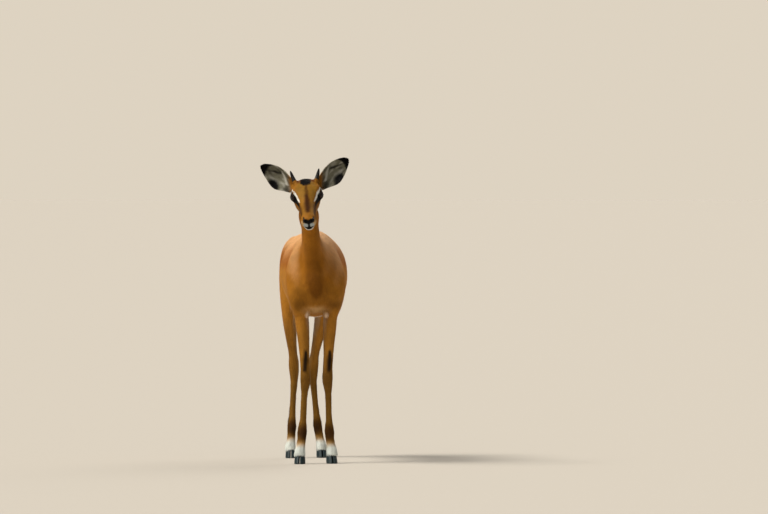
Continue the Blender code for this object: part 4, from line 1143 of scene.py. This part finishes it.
for side, sign in SIDES.items():
    bm = bmesh.new()
    seat = head @ Matrix.Translation(on_side(LEFT_EYE, sign)) @ eye_turn(sign).to_4x4()
    bmesh.ops.create_uvsphere(bm, u_segments=64, v_segments=48, radius=EYE_RADIUS, matrix=seat)
    bmesh.ops.recalc_face_normals(bm, faces=bm.faces)
    ball = new_piece("eyeball_" + side, bm)
    keep_on(ball.data, "gaze", gaze(ball, sign), "FLOAT_VECTOR")
    ball.data.materials.append(eye)
    ball.data.shade_smooth()
    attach(ball, "root")
    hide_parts("eye_" + side)

    bm = bmesh.new()
    rng = np.random.default_rng(5)
    head_up = eye_turn(sign).transposed() @ Vector((0, 0, 1))
    above = 1.0 if head_up.y > 0 else -1.0
    for number in range(LASHES):
        along_lid, over_lid = lid_edge(math.pi * (LASH_ROW[0] + LASH_ROW[1] * number / (LASHES - 1)))
        flat = Vector((along_lid, above * over_lid, 0)) * LASH_ROOTS
        in_eye = min(flat.length, EYE_RADIUS * 0.98)
        root = flat + Vector((0, 0, math.sqrt((EYE_RADIUS + LASH_ABOVE) ** 2 - in_eye ** 2)))
        fan = Vector((along_lid * LASH_FAN, above * LASH_UP, 0))
        stray = Vector(rng.uniform(-LASH_STRAY, LASH_STRAY, 3))
        way = (root.normalized() * LASH_OUTWARD + fan + stray).normalized()
        side_way = way.cross(Vector((0, above, 0))).normalized() * LASH[1]
        bend = Vector((0, above, 0)) * LASH[0] * LASH_BEND
        reach = LASH[0] * rng.uniform(*LASH_SPREAD)
        rows = [root - way * LASH_BELOW, root + way * reach * 0.5 + bend * 0.35, root + way * reach + bend]
        base = [bm.verts.new(seat @ (rows[0] + side_way * k)) for k in (-1, 1)]
        middle_pair = [bm.verts.new(seat @ (rows[1] + side_way * k * 0.7)) for k in (-1, 1)]
        tip = bm.verts.new(seat @ rows[2])
        bm.faces.new((base[0], base[1], middle_pair[1], middle_pair[0]))
        bm.faces.new((middle_pair[0], middle_pair[1], tip))
    lashes = new_piece("lashes_" + side, bm)
    lashes.data.materials.append(lash_hair)
    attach(lashes, "root")


# ---------------------------------------------------------------- horns
# Two short young spikes of dark horn, ringed low down and polished towards the tip. They grow out of the
# skull behind the brows, and the hair stands up round their roots.
HORN_SEAT = Vector((0.0320, -0.0180, 0.0365))
HORN_REACH = Vector((0.0115, 0.0230, 0.0290))
HORN_BEND = Vector((0.0008, 0.0024, -0.0008))
HORN_RADIUS = 0.0070
HORN_TAPER, HORN_TIP = 0.5, 5           # narrowing over the reach, and how late the tip closes
HORN_START, HORN_END = -0.25, 0.997     # shares of the reach, the first below the skin
HORN_RINGS, HORN_POINTS = 72, 32
HORN_CROWDING = 1.3         # how closely the loops of points stand towards the tip
RING_COUNT, RING_HEIGHT, RING_END = 9, 0.028, 0.62      # they fade out at this share of the reach
HORN_DARK, HORN_FIBRE = (0.003, 0.0026, 0.0024, 1), (0.010, 0.008, 0.006, 1)
HORN_DUST = (0.032, 0.024, 0.016, 1)

horn, horn_shader = finish_of("horn", roughness=0.42, specular_ior_level=0.14)
links = horn.node_tree.links
share_up = read(horn, "share_up")
place_on = made(horn, "ShaderNodeTexCoord").outputs["Object"]
sizes = made(horn, "ShaderNodeVectorMath", operation="MULTIPLY")
links.new(place_on, sizes.inputs[0])
sizes.inputs[1].default_value = (1, 0.8, 0.12)
fibre = made(horn, "ShaderNodeTexNoise", scale=900.0, detail=4.0)
links.new(sizes.outputs[0], fibre.inputs["Vector"])
dust = made(horn, "ShaderNodeTexNoise", scale=160.0, detail=5.0)
links.new(place_on, dust.inputs["Vector"])
dark = blended(horn, ramp(horn, fibre.outputs["Fac"], 0.35, 0.65), HORN_DARK, HORN_FIBRE)
worn = times(horn, ramp(horn, dust.outputs["Fac"], 0.48, 0.66, 0, 0.55),
             ramp(horn, share_up, 0.0, 0.55, 1, 0.15))
links.new(blended(horn, worn, dark, HORN_DUST), horn_shader.inputs["Base Color"])
links.new(ramp(horn, share_up, 0.1, 0.9, 0.50, 0.26), horn_shader.inputs["Roughness"])
bumped(horn, horn_shader, fibre.outputs["Fac"], 0.35, 0.0003)

for side, sign in SIDES.items():
    bm = bmesh.new()
    loops, shares_up = [], []
    rise_line = HORN_REACH.normalized()
    first = rise_line.orthogonal().normalized()
    second = rise_line.cross(first)
    for step in range(HORN_RINGS):
        share = HORN_START + (HORN_END - HORN_START) * (1 - (1 - step / (HORN_RINGS - 1)) ** HORN_CROWDING)
        above_skin = max(share, 0.0)
        centre = HORN_SEAT + HORN_REACH * share + HORN_BEND * math.sin(math.pi * above_skin)
        fading = max(0.0, 1 - above_skin / RING_END)
        ringed = RING_HEIGHT * fading * math.sin(2 * math.pi * RING_COUNT * share)
        radius = HORN_RADIUS * (1 - HORN_TAPER * share) * math.sqrt(1 - above_skin ** HORN_TIP) * (1 + ringed)
        loop = []
        for turn in np.arange(HORN_POINTS) * 2 * math.pi / HORN_POINTS:
            spoke = (first * math.cos(turn) + second * math.sin(turn)) * radius
            loop.append(bm.verts.new(head @ on_side(centre + spoke, sign)))
        loops.append(loop)
        shares_up += [above_skin] * HORN_POINTS
    wall(bm, loops)
    bm.faces.new(loops[0])
    bm.faces.new(loops[-1])
    bmesh.ops.recalc_face_normals(bm, faces=bm.faces)
    spike = new_piece("horn_spike_" + side, bm)
    keep_on(spike.data, "share_up", shares_up)
    spike.data.materials.append(horn)
    spike.data.shade_smooth()
    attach(spike, "root")
    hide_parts("horn_" + side)


# ---------------------------------------------------------------- claws
# Two narrow claws of blue-black horn on each foot, with a nearly flat face between them. Fine growth rings
# run round the wall, which is dusty and worn pale along its lower edge.
CLAW_EDGE = 0.0006          # rounding of its sharp edges
CLAW_WEAR = 0.0045          # height of the worn band
CLAW_DARK, CLAW_RING = (0.009, 0.018, 0.020, 1), (0.012, 0.024, 0.027, 1)
CLAW_DUST = (0.20, 0.17, 0.125, 1)

claw, claw_shader = finish_of("claw", roughness=0.45, specular_ior_level=0.15)
links = claw.node_tree.links
place_on = made(claw, "ShaderNodeTexCoord").outputs["Object"]
axes = made(claw, "ShaderNodeSeparateXYZ")
links.new(place_on, axes.inputs[0])
rings = made(claw, "ShaderNodeTexWave", wave_type="BANDS", bands_direction="Z", scale=130.0, distortion=3.0,
             detail=3.0)
links.new(place_on, rings.inputs["Vector"])
dust = made(claw, "ShaderNodeTexNoise", scale=220.0, detail=5.0)
links.new(place_on, dust.inputs["Vector"])
dark = blended(claw, rings.outputs["Fac"], CLAW_DARK, CLAW_RING)
low_down = times(claw, ramp(claw, axes.outputs["Z"], 0.0, CLAW_WEAR * 2, 1.0, 0.12),
                 ramp(claw, dust.outputs["Fac"], 0.45, 0.70, 0.0, 0.40))
links.new(blended(claw, low_down, dark, CLAW_DUST), claw_shader.inputs["Base Color"])
links.new(ramp(claw, dust.outputs["Fac"], *GRAIN_SPAN, 0.36, 0.62), claw_shader.inputs["Roughness"])
bumped(claw, claw_shader, rings.outputs["Fac"], 0.20, 0.0003)

for foot in sorted({node.rsplit("_", 1)[0] for node in claw_nodes}):
    pair = [node for node in claw_nodes if node.startswith(foot)]
    bm = bmesh.new()
    for node in pair:
        solid = rounded_copy("solid", node)
        bm.from_mesh(solid.data)
        bpy.data.objects.remove(solid)
    bmesh.ops.join_triangles(bm, faces=bm.faces, angle_face_threshold=0.5, angle_shape_threshold=0.7)
    bmesh.ops.bevel(bm, geom=[edge for edge in bm.edges if edge.calc_face_angle(0) > 0.8], offset=CLAW_EDGE,
                    segments=2, affect="EDGES", clamp_overlap=True)
    claws = new_piece("claws_" + foot.replace("_hoof", ""), bm)
    rounding = claws.modifiers.new("rounding", "SUBSURF")
    rounding.levels = rounding.render_levels = 2
    settle(claws)
    claws.data.materials.append(claw)
    claws.data.shade_smooth()
    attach(claws, "root")
    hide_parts(*pair)


# ---------------------------------------------------------------- floor, light and camera
# A plain pale floor that runs out to the horizon, broad soft lamps from above, and a camera far off at
# the height of the animal's back.
FLOOR_RADIUS = 60.0
PALE_FLOOR, FLOOR_TONES = (0.44, 0.40, 0.34), (0.97, 1.03)
PALE_AIR = (0.7286, 0.6506, 0.5348)
ROOM_LIGHT, ROOM_STRENGTH = (0.92, 0.92, 0.90, 1), 0.28

bm = bmesh.new()
bmesh.ops.create_circle(bm, cap_ends=True, segments=128, radius=FLOOR_RADIUS)
floor = new_piece("floor", bm)
ground, ground_shader = finish_of("floor", roughness=0.85)
links = ground.node_tree.links
place_on = made(ground, "ShaderNodeTexCoord").outputs["Object"]
fine = made(ground, "ShaderNodeTexNoise", scale=60.0, detail=6.0)
links.new(place_on, fine.inputs["Vector"])
darker, lighter = ((*(tone * part for part in PALE_FLOOR), 1) for tone in FLOOR_TONES)
links.new(blended(ground, fine.outputs["Fac"], darker, lighter), ground_shader.inputs["Base Color"])
floor.data.materials.append(ground)
floor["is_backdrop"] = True

LAMPS = {                   # where it shines from, strength, angle across, colour
    "key": ((-0.75, -0.22, 1.00), 4.1, 25, (1.0, 0.96, 0.90)),
    "front": ((-0.10, -1.00, 0.40), 0.48, 60, (1.0, 0.97, 0.93)),
    "back": ((0.55, 0.80, 0.80), 1.3, 40, (1.0, 0.96, 0.90)),
}
for name, (source, strength, across, colour) in LAMPS.items():
    lamp = bpy.data.objects.new(name, bpy.data.lights.new(name, "SUN"))
    lamp.data.energy, lamp.data.angle, lamp.data.color = strength, math.radians(across), colour
    lamp.rotation_mode = "QUATERNION"
    lamp.rotation_quaternion = (-Vector(source)).to_track_quat("-Z", "Y")
    bpy.context.scene.collection.objects.link(lamp)
world = bpy.data.worlds.new("studio")
bpy.context.scene.world = world
world.use_nodes = True
air = world.node_tree
lit_air, seen_air = air.nodes["Background"], air.nodes.new("ShaderNodeBackground")
lit_air.inputs["Color"].default_value = ROOM_LIGHT
lit_air.inputs["Strength"].default_value = ROOM_STRENGTH
seen_air.inputs["Color"].default_value = (*PALE_AIR, 1)
either = air.nodes.new("ShaderNodeMixShader")
air.links.new(air.nodes.new("ShaderNodeLightPath").outputs["Is Camera Ray"], either.inputs[0])
air.links.new(lit_air.outputs[0], either.inputs[1])
air.links.new(seen_air.outputs[0], either.inputs[2])
air.links.new(either.outputs[0], air.nodes["World Output"].inputs["Surface"])
bpy.context.scene.view_settings.view_transform = "Standard"

CAMERA_TURN = math.radians(-4)
CAMERA_FAR, CAMERA_HIGH, LENS = 30.0, 1.2, 464.06
AIM_HIGH, AIM_LEFT, AIM_BACK = 0.6273, 0.20606, -0.24
away = Vector((math.sin(CAMERA_TURN), -math.cos(CAMERA_TURN), 0))
aside = Vector((math.cos(CAMERA_TURN), math.sin(CAMERA_TURN), 0))
aim = Vector((spine.x, spine.y + AIM_BACK, 0)) + aside * AIM_LEFT
camera = bpy.data.objects.new("camera", bpy.data.cameras.new("camera"))
camera.data.lens, camera.data.sensor_width, camera.data.clip_end = LENS, 36.0, 200.0
camera.location = aim + away * CAMERA_FAR + Vector((0, 0, CAMERA_HIGH))
camera.rotation_mode = "QUATERNION"
camera.rotation_quaternion = (aim + Vector((0, 0, AIM_HIGH)) - camera.location).to_track_quat("-Z", "Y")
bpy.context.scene.collection.objects.link(camera)
bpy.context.scene.camera = camera

sizes = {"solids": [list(corner) for corner in solid_box], "dressed": [list(corner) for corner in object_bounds()]}
